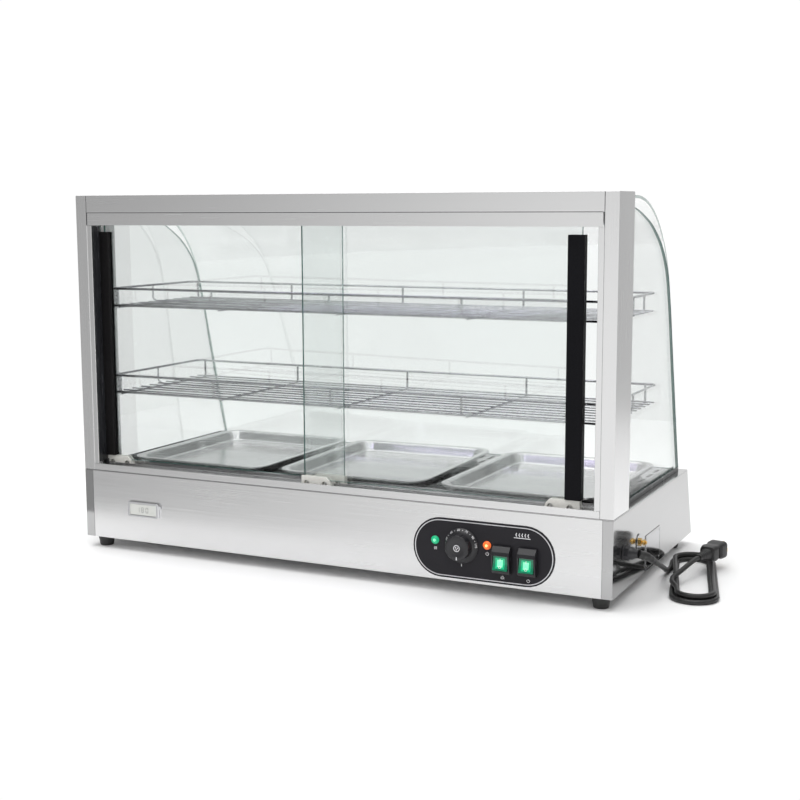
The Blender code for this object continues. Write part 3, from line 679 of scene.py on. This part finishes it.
def pane(outline, axis, low, high):
    """Flat sheet of glass: clear faces, tinted ground edges."""
    n = len(outline)
    points = [along(axis, a, b, t) for t in (low, high) for a, b in outline]
    faces = [
        (k, (k + 1) % n, n + (k + 1) % n, n + k) for k in range(n)
    ] + [tuple(range(n)), tuple(range(n, 2 * n))]
    return mesh_of(points, faces, (GLASS, GLASS_EDGE), [1] * n + [0, 0])


def curved_profile(inset, start, top, radius, sweep, bottom):
    centre = (0.1337, top - radius)
    points = [(start, top - inset)]
    for i in range(GLASS_STEPS + 1):
        angle = math.radians(sweep * i / GLASS_STEPS)
        points.append(
            (centre[0] + (radius - inset) * math.sin(angle), centre[1] + (radius - inset) * math.cos(angle))
        )
    y, z = points[-1]
    points.append((y + (z - bottom) * math.tan(math.radians(90 - sweep)), bottom))
    return points


def build_glass():
    low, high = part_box("curved_glass")
    x0, x1 = low.x - CABINET.x, high.x - CABINET.x
    shape = (low.y - CABINET.y, high.z - CABINET.z, 0.200, 74.7, DECK + GAP)
    outer, inner = curved_profile(0.0, *shape), curved_profile(0.005, *shape)
    points, faces, tags = [], [], []
    for (yo, zo), (yi, zi) in zip(outer, inner):
        points += [(x0, yo, zo), (x1, yo, zo), (x1, yi, zi), (x0, yi, zi)]
    for i in range(len(outer) - 1):
        a, b = 4 * i, 4 * i + 4
        for k in range(4):
            faces.append((a + k, a + (k + 1) % 4, b + (k + 1) % 4, b + k))
            tags.append(k % 2)
    faces += [(0, 1, 2, 3), tuple(range(len(points) - 4, len(points)))]
    tags += [1, 1]
    made = mesh_of(points, faces, (GLASS, GLASS_EDGE_PALE), tags)
    piece("curved_pane", made, "cabinet", ("curved_glass",), bevel=0.0008)

    edge = spline(
        [(0.0, y, z) for y, z in (
            (0.3990, 0.1146), (0.3849, 0.1631), (0.3525, 0.2846), (0.3200, 0.4062), (0.3079, 0.4356),
            (0.2900, 0.4595), (0.2675, 0.4803), (0.2408, 0.4968), (0.2106, 0.5116), (0.1715, 0.5241),
            (0.1345, 0.5335), (0.1050, 0.5375), (0.0723, 0.5390),
        )], 4)
    outline = [(p.y, p.z) for p in edge] + [(0.0723, 0.1146)]
    right = pane(outline, "X", 0.882, 0.887)
    left = mirrored(right)
    piece("side_pane_right", right, "cabinet", ("side_glass_right",), smooth=20, bevel=0.0009)
    piece("side_pane_left", left, "cabinet", ("side_glass_left",), smooth=20, bevel=0.0009)
    for side in ("right", "left"):
        low, high = extent(side + "_door_glass")
        outline = rounded(low.x, high.x, low.z, high.z, 0.0015, 3)
        made = pane(outline, "Y", low.y, high.y)
        name = side + "_door_glass"
        piece(side + "_door_pane", made, side + "_door", (name,), smooth=20, bevel=0.0006)


# Sheet metal that keeps its CAD shape.


def keep(finish, bevel, *names):
    for name in names:
        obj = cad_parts[name]
        obj.data.materials.clear()
        obj.data.materials.append(finish)
        seam = obj.modifiers.new("seams", "WELD")
        seam.merge_threshold = 1e-5
        if bevel:
            round_edges(obj, bevel)


def dress_cabinet():
    keep(STEEL_X, 0.0004, "front_panel", "header", "upper_track", "door_sill", "rear_panel", "base_pan")
    keep(STEEL_Z, 0.0008, "post_left", "post_right")
    keep(STEEL_Y, 0.0004, "side_panel_left", "side_panel_right")
    keep(SEAL, 0.0003, "post_seal_left", "post_seal_right", "glass_seal_left", "glass_seal_right")
    keep(SCREW_STEEL, 0.0003, "heater_strap")
    keep(PLASTIC, 0.0006, "thermostat_body", "light_switch_housing", "power_switch_housing")
    keep(PLATE, 0.0003, "control_plate")
    keep(CHROME, 0.0006, "display_bezel")
    keep(WHITE, 0.0003, "lamp_housing")
    keep(GRIP, 0.0010, "right_door_handle")
    keep(KNURL, 0.0010, "left_door_handle")
    keep(LABEL, 0.0001, "rating_plate")
    for side in ("left", "right"):
        keep(CREAM, 0.0005, side + "_door_bracket_left", side + "_door_bracket_right")


def build_feet():
    for name in ("foot_front_left", "foot_front_right", "foot_rear_left", "foot_rear_right"):
        low, high = extent(name)
        centre = ((low.x + high.x) / 2, (low.y + high.y) / 2)
        floor, top = low.z, high.z
        profile = (
            (floor + 0.0020, 0), (floor + 0.0020, 0.0035), (floor, 0.0045), (floor, 0.0098),
            (floor + 0.0004, 0.0106), (floor + 0.0012, 0.0111), (top - 0.0060, 0.0128),
            (top - 0.0030, 0.0138), (top - 0.0008, 0.0140), (top, 0.0137), (top, 0),
        )
        piece("rubber_" + name, lathe(profile, "Z", centre, RUBBER, 48), "cabinet", (name,))


def build_deck():
    """Polished deck with rows of round-ended slots."""
    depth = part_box("deck_plate")[1].y - CABINET.y
    pitch_x, pitch_y, half_w, half_l = 0.0160, 0.0420, 0.00275, 0.0140
    columns, rows = 52, 8
    x0, y0 = (WIDTH - columns * pitch_x) / 2, 0.0560
    xs = [0.0, *(x0 + i * pitch_x for i in range(columns + 1)), WIDTH]
    ys = [0.0, *(y0 + j * pitch_y for j in range(rows + 1)), depth]
    heights = (DECK - 0.0012, DECK)
    oval = []
    for way, turn in ((-1, 1), (1, 0)):
        for k in range(5):
            angle = math.pi * (turn + k / 4)
            oval.append((half_w * math.cos(angle), way * (half_l - half_w), half_w * math.sin(angle)))
    points = [(x, y, z) for z in heights for y in ys for x in xs]
    faces = []

    def corner(i, j, level):
        return (level * len(ys) + j) * len(xs) + i

    for i in range(len(xs) - 1):
        for j in range(len(ys) - 1):
            slotted = 0 < i < len(xs) - 2 and 0 < j < len(ys) - 2
            ring = []
            for level, z in enumerate(heights):
                around = [corner(i + a, j + b, level) for a, b in ((0, 0), (1, 0), (1, 1), (0, 1))]
                if not slotted:
                    faces.append(tuple(around))
                    continue
                cx, cy = (xs[i] + xs[i + 1]) / 2, (ys[j] + ys[j + 1]) / 2
                first = len(points)
                points += [(cx + a, cy + b + c, z) for a, b, c in oval]
                slot = list(range(first, first + 10))
                faces.append((around[0], around[1], *reversed(slot[:5])))
                faces.append((around[1], around[2], slot[5], slot[4]))
                faces.append((around[2], around[3], *reversed(slot[5:])))
                faces.append((around[3], around[0], slot[0], slot[9]))
                ring.append(slot)
            if slotted:
                faces += [
                    (ring[0][k], ring[0][(k + 1) % 10], ring[1][(k + 1) % 10], ring[1][k]) for k in range(10)
                ]
    rim = [corner(i, 0, 0) for i in range(len(xs))] + [corner(len(xs) - 1, j, 0) for j in range(1, len(ys))]
    rim += [corner(i, len(ys) - 1, 0) for i in range(len(xs) - 2, -1, -1)]
    rim += [corner(0, j, 0) for j in range(len(ys) - 2, 0, -1)]
    lift = len(xs) * len(ys)
    faces += [(a, b, b + lift, a + lift) for a, b in zip(rim, rim[1:] + rim[:1])]
    piece(
        "slotted_deck", mesh_of(points, faces, (DECK_STEEL,)), "cabinet",
        ("deck_plate",)
    )


# Wire shelves and trays.


def build_shelf(name, rail_z, wire_z, rear, count):
    left, right, front = 0.026, 0.874, 0.050
    loop = [(x, y, rail_z) for x, y in rounded(left, right, front, rear, 0.010, 8)]
    parts = [tube(loop, 0.0020, WIRE, 14, closed=True)]
    span = rear - front - 0.004
    for i in range(count):
        y = front + span * i / (count - 1)
        parts.append(
            tube(
                [(left + 0.001, y, wire_z), (right - 0.001, y, wire_z)], 0.0020 if i == 0 else 0.0014, WIRE,
                12
            )
        )
    for x in (0.042, 0.235, 0.448, 0.6615, 0.858):
        path = [(x, front - 0.0005, wire_z - 0.0026), (x, rear - 0.0045, wire_z - 0.0026)]
        path += [(x, rear - 0.0008, wire_z + 0.0020), (x, rear - 0.0008, rail_z)]
        parts.append(tube(cornered(path, 0.005), 0.0017, WIRE, 12))
    for x in (0.222, 0.434, 0.652, 0.040, 0.860):
        parts.append(tube([(x, front, wire_z - 0.0005), (x, front, rail_z)], 0.0016, WIRE, 12))
    for x, outward in ((0.042, -0.016), (0.858, 0.016)):
        y = (front + rear) / 2
        path = [(x, y, wire_z - 0.0026), (x + outward, y, wire_z + 0.004), (x + outward, y, rail_z)]
        parts.append(tube(cornered(path, 0.004), 0.0016, WIRE, 12))
    piece(name + "_wires", joined(parts), "cabinet", (name,), smooth=50)
    plates = []
    for wall, inner, reach in ((0.0203, 0.0218, 0.0300), (0.8797, 0.8782, 0.8700)):
        x0, x1 = sorted((wall, inner))
        outline = rounded(0.0480, 0.0720, wire_z - 0.0040, rail_z + 0.0030, 0.0035, 4)
        plates.append(prism(outline, "X", x0, x1, SCREW_STEEL))
        foot0, foot1 = sorted((reach, (wall + inner) / 2))
        plates.append(block(foot0, foot1, 0.0480, 0.0720, wire_z - 0.0045, wire_z - 0.0033, SCREW_STEEL))
        way = 1 if wall < 0.45 else -1
        for z in (wire_z + 0.0070, rail_z - 0.0060):
            plates.append(screw(inner, 0.0640, z, way))
    piece(name + "_plates", joined(plates), "cabinet", bevel=0.0002)


def screw(x, y, z, way, radius=0.0030):
    """Pan-head screw on a wall across X, with a cross recess."""
    profile = ((x - way * 0.0004, 0), (x - way * 0.0004, radius), (x + way * 0.0004, radius),
               (x + way * 0.0012, radius * 0.85), (x + way * 0.0016, radius * 0.5), (x + way * 0.0017, 0))
    head = lathe(profile, "X", (y, z), SCREW_STEEL, 24)
    marks = [
        block(min(x, x + way * 0.00178), max(x, x + way * 0.00178), y - a, y + a, z - b, z + b, PLASTIC)
        for a, b in ((radius * 0.55, radius * 0.12), (radius * 0.12, radius * 0.55))
    ]
    return joined([head, *marks])


def build_tray(name, x, y, turn):
    """Sheet pan: rolled rim, sloped walls with soft bends, flat floor."""
    half_x, half_y, wall, height = 0.1265, 0.155, 0.0009, 0.0173
    floor = DECK + GAP
    top = floor + height
    inner = [(0.0, top - 0.0034), (0.0, top), (0.0094, top), (0.0186, floor + wall), (0.040, floor + wall)]
    outer = [
        (0.040, floor), (0.0180, floor), (0.0088, top - wall), (0.0010, top - wall), (0.0010, top - 0.0034)
    ]
    levels = []
    for corners in (inner, outer):
        path = cornered([(inset, z, 0.0) for inset, z in corners], 0.0034, 6)
        for point in path:
            radius = max(0.0140, 0.030 - 0.62 * point.x)
            outline = rounded(
                -half_x + point.x, half_x - point.x, -half_y + point.x, half_y - point.x, radius, 10
            )
            levels.append([(a, b, point.y) for a, b in outline])
    half = len(levels) // 2
    skin = stack(levels[:half], (TRAY_STEEL,), closed_ends=False)
    under = stack(levels[half:], (TRAY_STEEL,), closed_ends=False)
    lip = stack([levels[-1], levels[0]], (TRAY_STEEL,), closed_ends=False)
    n = len(levels[0])
    caps = [mesh_of(levels[i], [tuple(range(n))], (TRAY_STEEL,)) for i in (half - 1, half)]
    made = weld(joined([skin, under, lip, *caps]), 1e-6)
    shape = bmesh.new()
    shape.from_mesh(made)
    bmesh.ops.recalc_face_normals(shape, faces=shape.faces)
    shape.to_mesh(made)
    shape.free()
    half_x, half_y = half_x - 0.0016, half_y - 0.0016
    bead = [(a, b, top - 0.0027) for a, b in rounded(-half_x, half_x, -half_y, half_y, 0.0286, 10)]
    made = joined([made, tube(bead, 0.0014, TRAY_STEEL, 10, closed=True)])
    made = moved(made, Matrix.Translation((x, y, 0)) @ Matrix.Rotation(math.radians(turn), 4, "Z"))
    piece(name.replace("tray", "pan"), made, name, (name,), smooth=35)


# Controls.

KNOB = (0.6752, 0.0538)
KNOB_SLOPE = math.radians(41)
PLATE_Y = -0.0012


def text_mesh(text, size, finish):
    letters = bpy.data.curves.new("text", "FONT")
    letters.body = text
    letters.size = size
    letters.align_x = "CENTER"
    letters.align_y = "CENTER"
    letters.extrude = 0.00006
    letters.resolution_u = 3
    holder = bpy.data.objects.new("text", letters)
    bpy.context.scene.collection.objects.link(holder)
    bpy.context.view_layer.update()
    made = bpy.data.meshes.new_from_object(holder.evaluated_get(bpy.context.evaluated_depsgraph_get()))
    bpy.data.objects.remove(holder, do_unlink=True)
    made.materials.clear()
    return paint(made, finish)


def on_skirt(mesh, degrees, radius=0.0237, y=-0.00448):
    angle = math.radians(degrees)
    radial = Vector((math.cos(angle), 0, math.sin(angle)))
    right = Vector((math.sin(angle), 0, -math.cos(angle)))
    up = radial * math.cos(KNOB_SLOPE) + Vector((0, math.sin(KNOB_SLOPE), 0))
    normal = right.cross(up)
    place = Vector((KNOB[0], 0, KNOB[1])) + radial * radius + Vector((0, y, 0))
    turn = Matrix([(right[i], up[i], normal[i]) for i in range(3)]).to_4x4()
    return moved(mesh, Matrix.Translation(place) @ turn)


def build_knob():
    count, flutes = 120, 10
    skirt = lathe(
        ((-0.0015, 0), (-0.0015, 0.0254), (-0.0017, 0.0259), (-0.0022, 0.0260), (-0.0027, 0.0256),
         (-0.0060, 0.0218), (-0.0068, 0.0206), (-0.0074, 0.0194), (-0.0078, 0.0188), (-0.0078, 0)),
        "Y", KNOB, PLASTIC, 96)
    shaft = rod("Y", KNOB, -0.0020, 0.0024, 0.0035, SCREW_STEEL)
    levels = []
    for y, radius, flute in (
        (-0.0070, 0.0190, 0.0), (-0.0090, 0.0189, 0.3), (-0.0110, 0.0188, 1.0), (-0.0180, 0.0186, 1.0),
        (-0.0190, 0.0184, 0.9), (-0.0197, 0.0178, 0.7), (-0.0200, 0.0170, 0.4), (-0.0200, 0.0120, 0.0),
        (-0.0196, 0.0112, 0.0), (-0.0194, 0.0040, 0.0),
    ):
        ring = []
        for i in range(count):
            angle = 2 * math.pi * i / count
            dip = max(0.0, math.cos(angle * flutes)) ** 6 * 0.0011 * flute
            ring.append(
                (KNOB[0] + (radius - dip) * math.cos(angle), y, KNOB[1] + (radius - dip) * math.sin(angle))
            )
        levels.append(ring)
    cap = stack(levels, (PLASTIC,))
    piece(
        "knob_body", joined([skirt, cap, shaft]), "thermostat_knob", ("thermostat_knob",),
        smooth=35
    )
    marks = [on_skirt(text_mesh(label, 0.0046, PRINT), angle) for label, angle in (
        ("30", 158), ("45", 128), ("60", 98), ("75", 68), ("90", 38), ("110", 8))]
    for degrees in range(173, 0, -30):
        marks.append(on_skirt(rod("Z", (0, 0), 0.0, 0.00006, 0.0005, PRINT, 12), degrees))
    x, z = KNOB
    marks.append(block(x - 0.0006, x + 0.0006, -0.02012, -0.0195, z - 0.0172, z - 0.0125, PRINT))
    ring = [(x + a, -0.01955, z + b) for a, b in circle(0, 0, 0.0044, 36)]
    marks.append(tube(ring, 0.0005, PRINT, 8, closed=True))
    for a, b in circle(0, 0, 0.0018, 3, 0.4):
        marks.append(rod("Y", (x + a, z + b), -0.0199, -0.0193, 0.0009, PRINT, 12))
    piece("knob_marks", joined(marks), "thermostat_knob", smooth=0)
    tick = block(x - 0.0005, x + 0.0005, PLATE_Y - 0.0001, PLATE_Y, z - 0.0305, z - 0.0268, PRINT)
    piece("knob_index", tick, "cabinet", smooth=0)


def build_lamps():
    for name, centre, lens, core in (
        ("heating_lamp", (0.6340, 0.0587), GREEN, GREEN_CORE),
        ("power_lamp", (0.7151, 0.0588), AMBER, AMBER_CORE),
    ):
        bezel = lathe(
            ((-0.0015, 0), (-0.0015, 0.0060), (-0.0018, 0.0062), (-0.0027, 0.0062), (-0.0030, 0.0060),
             (-0.0030, 0)), "Y", centre, lens)
        dome = lathe(
            ((-0.0028, 0), (-0.0028, 0.0055), (-0.0040, 0.0052), (-0.0048, 0.0045), (-0.0053, 0.0036),
             (-0.0054, 0.0028), (-0.0050, 0.0024), (-0.0050, 0)), "Y", centre, lens)
        eye = lathe(((-0.0049, 0), (-0.0049, 0.0023), (-0.0054, 0.0019), (-0.0057, 0.0010), (-0.0058, 0)),
                    "Y", centre, core, 24)
        stem = rod("Y", centre, -0.0016, 0.0180, 0.0046, PLASTIC)
        piece(name + "_lens", joined([bezel, dome, eye, stem]), "cabinet", (name,), smooth=30)


def build_rockers():
    tilt = Matrix.Rotation(-math.radians(10.0), 4, "X")
    for name, (x, z) in (
        ("light_switch_rocker", (0.7387, 0.0367)), ("power_switch_rocker", (0.7777, 0.0372))
    ):
        place = Matrix.Translation((x, -0.0095, z)) @ tilt
        face = [
            (-0.0030 + 0.0013 * (1 - (t / 0.0104) ** 2), t) for t in (0.0104 * (i / 8 - 1) for i in range(17))
        ]
        outline = face + [(0.0050, 0.0098), (0.0050, -0.0098)]
        body = prism(outline, "X", -0.0109, 0.0109, GREEN_DEEP)
        lens = [(y - 0.0002, t) for y, t in face[2:-2]]
        window = prism(lens + [(-0.0010, lens[-1][1]), (-0.0010, lens[0][1])], "X", -0.0072, 0.0072, GREEN)
        core = prism([(y - 0.0003, t) for y, t in face[4:-4]] + [(-0.0010, 0.0052), (-0.0010, -0.0052)],
                     "X", -0.0042, 0.0042, GREEN_CORE)
        piece(
            name + "_body", moved(joined([body, window]), place), name, (name,), smooth=30,
            bevel=0.0003
        )
        stroke = block(-0.0005, 0.0005, -0.00262, -0.0020, 0.0030, 0.0066, PRINT)
        ring = [(a, -0.00235, -0.0052 + b) for a, b in circle(0, 0, 0.0017, 28)]
        marks = joined([core, stroke, tube(ring, 0.0004, PRINT, 8, closed=True)])
        piece(name + "_marks", moved(marks, place), name, smooth=0)


def flattened(made, share):
    """Squashes a line against the face of the control plate."""
    face = Matrix.Translation((0, PLATE_Y, 0))
    return moved(made, face @ Matrix.Scale(share, 4, (0, 1, 0)) @ face.inverted())


def stroke(points, centre, scale=1.0, radius=0.00032, closed=False):
    """Raised print line on the control plate. Points are in millimetres about its centre."""
    path = [
        (centre[0] + a * 0.001 * scale, PLATE_Y - 0.00005, centre[1] + b * 0.001 * scale) for a, b in points
    ]
    return flattened(tube(path, radius, PRINT, 8, closed=closed), 0.3)


def wave(x):
    return [(x + 0.7 * math.sin(i * math.pi / 4), -2.6 + 5.2 * i / 12) for i in range(13)]


def power_sign(centre, scale):
    arc = [
        (2.2 * math.sin(t), 2.2 * math.cos(t)) for t in (math.radians(35 + 290 * i / 20) for i in range(21))
    ]
    return [stroke(arc, centre, scale), stroke([(0, 0.3), (0, 2.8)], centre, scale)]


def build_plate_prints():
    """Silver outline and plain pictograms: heat, power, light."""
    x0, x1, z0, z1 = (0.5987 + 0.0032, 0.8170 - 0.0032, 0.0043 + 0.0032, 0.0922 - 0.0032)
    outline = rounded(x0, x1, z0, z1, (z1 - z0) / 2 - 0.0001, 24)
    line = tube([(a, PLATE_Y, b) for a, b in outline], 0.0007, SILVER, 8, closed=True)
    piece("plate_outline", flattened(line, 0.25), "cabinet", smooth=60)
    heat = (0.6340, 0.0465)
    prints = [stroke(wave(x), heat, 0.75) for x in (-2.2, 0, 2.2)]
    prints += power_sign((0.7151, 0.0462), 1.0)
    prints += power_sign((0.7777, 0.0135), 1.0)
    bulb = (0.7387, 0.0130)
    prints.append(stroke(circle(0, 0.6, 1.5, 20), bulb, closed=True))
    for i in range(7):
        t = math.radians(-30 + 40 * i)
        prints.append(
            stroke(
                [(2.2 * math.cos(t), 0.6 + 2.2 * math.sin(t)), (3.1 * math.cos(t), 0.6 + 3.1 * math.sin(t))],
                bulb
            )
        )
    title = (0.7680, 0.0785)
    for i in range(5):
        prints.append(stroke(wave(-9 + 4.5 * i), title, 1.0, 0.0005))
    prints.append(stroke([(-12.5, -4.4), (12.5, -4.4)], title, 1.0, 0.0005))
    piece("plate_prints", joined(prints), "cabinet", smooth=60)


def build_display():
    low, high = extent("display_module")
    case = block(low.x, high.x, low.y + 0.0012, high.y, low.z, high.z, PLASTIC)
    face = block(low.x, high.x, low.y, low.y + 0.0011, low.z, high.z, LCD)
    segments = []
    lit = ("bc", "abcdefg", "abcdef")
    places = {
        "a": (0, 3, 1), "b": (1, 1.5, 0), "c": (1, -1.5, 0), "d": (0, -3, 1),
        "e": (-1, -1.5, 0), "f": (-1, 1.5, 0), "g": (0, 0, 1),
    }
    for i, digit in enumerate(lit):
        x, z = low.x + 0.016 + 0.0085 * i, (low.z + high.z) / 2
        for letter in digit:
            a, b, flat = places[letter]
            w, h = (0.0016, 0.0004) if flat else (0.0004, 0.0012)
            u, v = x + a * 0.0021, z + b * 0.0013
            segments.append(block(u - w, u + w, low.y - 0.0001, low.y + 0.0002, v - h, v + h, LCD_INK))
    piece(
        "display_glass", joined([case, face, *segments]), "cabinet", ("display_module",),
        smooth=0
    )


# Fittings on the side panel.


def build_side_fittings():
    wall = WIDTH + GAP

    def off_wall(*profile):
        return [(wall + t, radius) for t, radius in profile]

    y, z = 0.1265, 0.0545
    thread = [(wall, 0), (wall, 0.0028)]
    for i in range(15):
        t = wall + 0.0008 * i
        thread += [(t + 0.0002, 0.0028), (t + 0.0006, 0.0023)]
    thread += [(0.9118, 0.0024), (0.9120, 0.0018), (0.9120, 0)]
    rim = off_wall((0, 0), (0, 0.0118), (0.0003, 0.0120), (0.0009, 0.0120), (0.0012, 0.0118), (0.0012, 0))
    washer = lathe(rim, "X", (y, z), LABEL)
    nut = prism(circle(y, z, 0.0058, 6, 0.3), "X", wall + 0.0012, wall + 0.0044, BRASS)
    nut2 = prism(circle(y, z, 0.0050, 6, 0.9), "X", wall + 0.0070, wall + 0.0094, BRASS)
    stud = lathe(thread, "X", (y, z), BRASS, 24)
    piece(
        "earth_stud", joined([washer, nut, nut2, stud]), "cabinet", ("earth_bolt",), smooth=30,
        bevel=0.0002
    )

    centre = (0.052, 0.056)
    rim = off_wall((0, 0), (0, 0.0113), (0.0003, 0.0115), (0.0017, 0.0115), (0.0021, 0.0111), (0.0022, 0))
    flange = lathe(rim, "X", centre, PLASTIC)
    nut = prism(circle(*centre, 0.0108, 6, 0.2), "X", wall + 0.0021, wall + 0.0078, PLASTIC)
    dome = lathe(
        (*off_wall((0.0070, 0), (0.0070, 0.0092)), (0.9125, 0.0092), (0.9150, 0.0080), (0.9175, 0.0068),
         (0.9205, 0.0060), (0.9210, 0.0056), (0.9210, 0)), "X", centre, PLASTIC)
    piece(
        "gland_nut", joined([flange, nut, dome]), "cabinet", ("cord_gland",), smooth=30,
        bevel=0.0003
    )
    low, high = extent("rating_plate")
    x, y0, y1, z0, z1 = high.x, low.y, high.y, low.z, high.z
    border = rounded(y0 + 0.0025, y1 - 0.0025, z0 + 0.0025, z1 - 0.0025, 0.0015, 4)
    line = tube([(x, a, b) for a, b in border], 0.0002, SCREW_STEEL, 6, closed=True)
    head = ((x - 0.0002, 0), (x - 0.0002, 0.0013), (x + 0.0003, 0.0010), (x + 0.0005, 0))
    rivets = [
        lathe(head, "X", (a, b), SCREW_STEEL, 16)
        for a in (y0 + 0.006, y1 - 0.006)
        for b in (z0 + 0.006, z1 - 0.006)
    ]
    piece("rating_plate_border", joined([line, *rivets]), "cabinet")


# Rollers, stops, lamp and heater.


WHEEL = (
    (-0.0022, 0.0), (-0.0022, 0.0014), (-0.0018, 0.0016), (-0.0022, 0.0030), (-0.0020, 0.0037),
    (-0.0014, 0.0040),
    (-0.0004, 0.0036), (0.0004, 0.0036), (0.0014, 0.0040), (0.0020, 0.0037), (0.0022, 0.0030), (0.0022, 0.0),
)


def build_rollers():
    """Two wheels in each bracket. The outermost turns on its own body, and the other one rides the door."""
    arches = {
        "right_door": ((0.4104, 0.4415), (0.8030, 0.8320)),
        "left_door": ((0.0310, 0.0600), (0.4260, 0.4550)),
    }
    axle_height = 0.1203
    for door, pairs in arches.items():
        low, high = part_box(door + "_roller_left")
        middle = (low.y + high.y) / 2 - CABINET.y
        profile = [(middle + t, radius) for t, radius in WHEEL]
        for side, xs in zip(("left", "right"), pairs):
            name = f"{door}_roller_{side}"
            outermost = min(xs) if side == "left" else max(xs)
            for x in xs:
                wheel = lathe(profile, "Y", (x, axle_height), ROLLER, 32)
                axle = rod("Y", (x, axle_height), middle - 0.0027, middle + 0.0027, 0.0010, SCREW_STEEL, 16)
                made = joined([wheel, axle])
                if x == outermost:
                    piece(name.replace("roller", "wheel"), made, name, (name,), smooth=30)
                else:
                    piece(name.replace("roller", "idler"), made, door, smooth=30)


def build_small_parts():
    stops = [
        block(0.8755, 0.8790, 0.0180, 0.0262, 0.1145, 0.1262, PLASTIC),
        block(0.0212, 0.0243, 0.0270, 0.0325, 0.1145, 0.1260, PLASTIC),
    ]
    piece("door_stops", joined(stops), "cabinet", bevel=0.0006)
    # Painted shadow: the thin black strips across the header and down its joints with the posts stand for the
    # shade in those narrow gaps.
    seams = [block(0.0213, 0.8780, -0.00015, 0.0010, 0.5293, 0.5300, SEAL)]
    seams += [block(x, x + 0.0007, -0.00015, 0.0010, 0.5100, 0.5565, SEAL) for x in (0.0198, 0.8795)]
    piece("painted_seam_shadow", joined(seams), "cabinet", smooth=0)
    heads = [screw(0.0203, 0.060, 0.320, 1), screw(0.8797, 0.060, 0.320, -1)]
    piece("post_screws", joined(heads), "cabinet", smooth=30)
    centre = (0.0610, 0.5220)
    profile = (
        (0.2165, 0), (0.2165, 0.0050), (0.2180, 0.0053), (0.6820, 0.0053), (0.6835, 0.0050), (0.6835, 0)
    )
    glow = lathe(profile, "X", centre, TUBE_LIGHT, 32)
    caps = [
        lathe(
            ((a, 0), (a, 0.0050), (a + 0.0006, 0.0055), (b - 0.0006, 0.0055), (b, 0.0050), (b, 0)), "X",
            centre, CHROME, 32
        )
        for a, b in ((0.205, 0.2163), (0.6837, 0.695))
    ]
    piece("lamp_glow_tube", joined([glow, *caps]), "cabinet", ("lamp_tube",), smooth=30)
    z, left, right = 0.070, 0.120, 0.780
    path = [(right, 0.130, z), (left + 0.045, 0.130, z)]
    for i in range(1, 24):
        angle = math.radians(-90 - 180 * i / 24)
        path.append((left + 0.045 + 0.055 * math.cos(angle), 0.185 + 0.055 * math.sin(angle), z))
    path += [(left + 0.045, 0.240, z), (right, 0.240, z)]
    piece(
        "heater_loop", tube(path, 0.0038, ELEMENT, 16), "cabinet", ("heater_element",),
        smooth=50
    )


place_camera()
studio()
build_cord()
build_glass()
dress_cabinet()
build_feet()
build_deck()
for shelf in (("upper_shelf", 0.4065, 0.3790, 0.279, 10), ("lower_shelf", 0.2635, 0.2360, 0.296, 11)):
    build_shelf(*shelf)
for tray in (
    ("tray_left", 0.1826, 0.2005, 0.0), ("tray_middle", 0.4574, 0.2040, 1.83),
    ("tray_right", 0.7380, 0.2005, 0.0)
):
    build_tray(*tray)
build_knob()
build_lamps()
build_rockers()
build_plate_prints()
build_display()
build_side_fittings()
build_rollers()
build_small_parts()
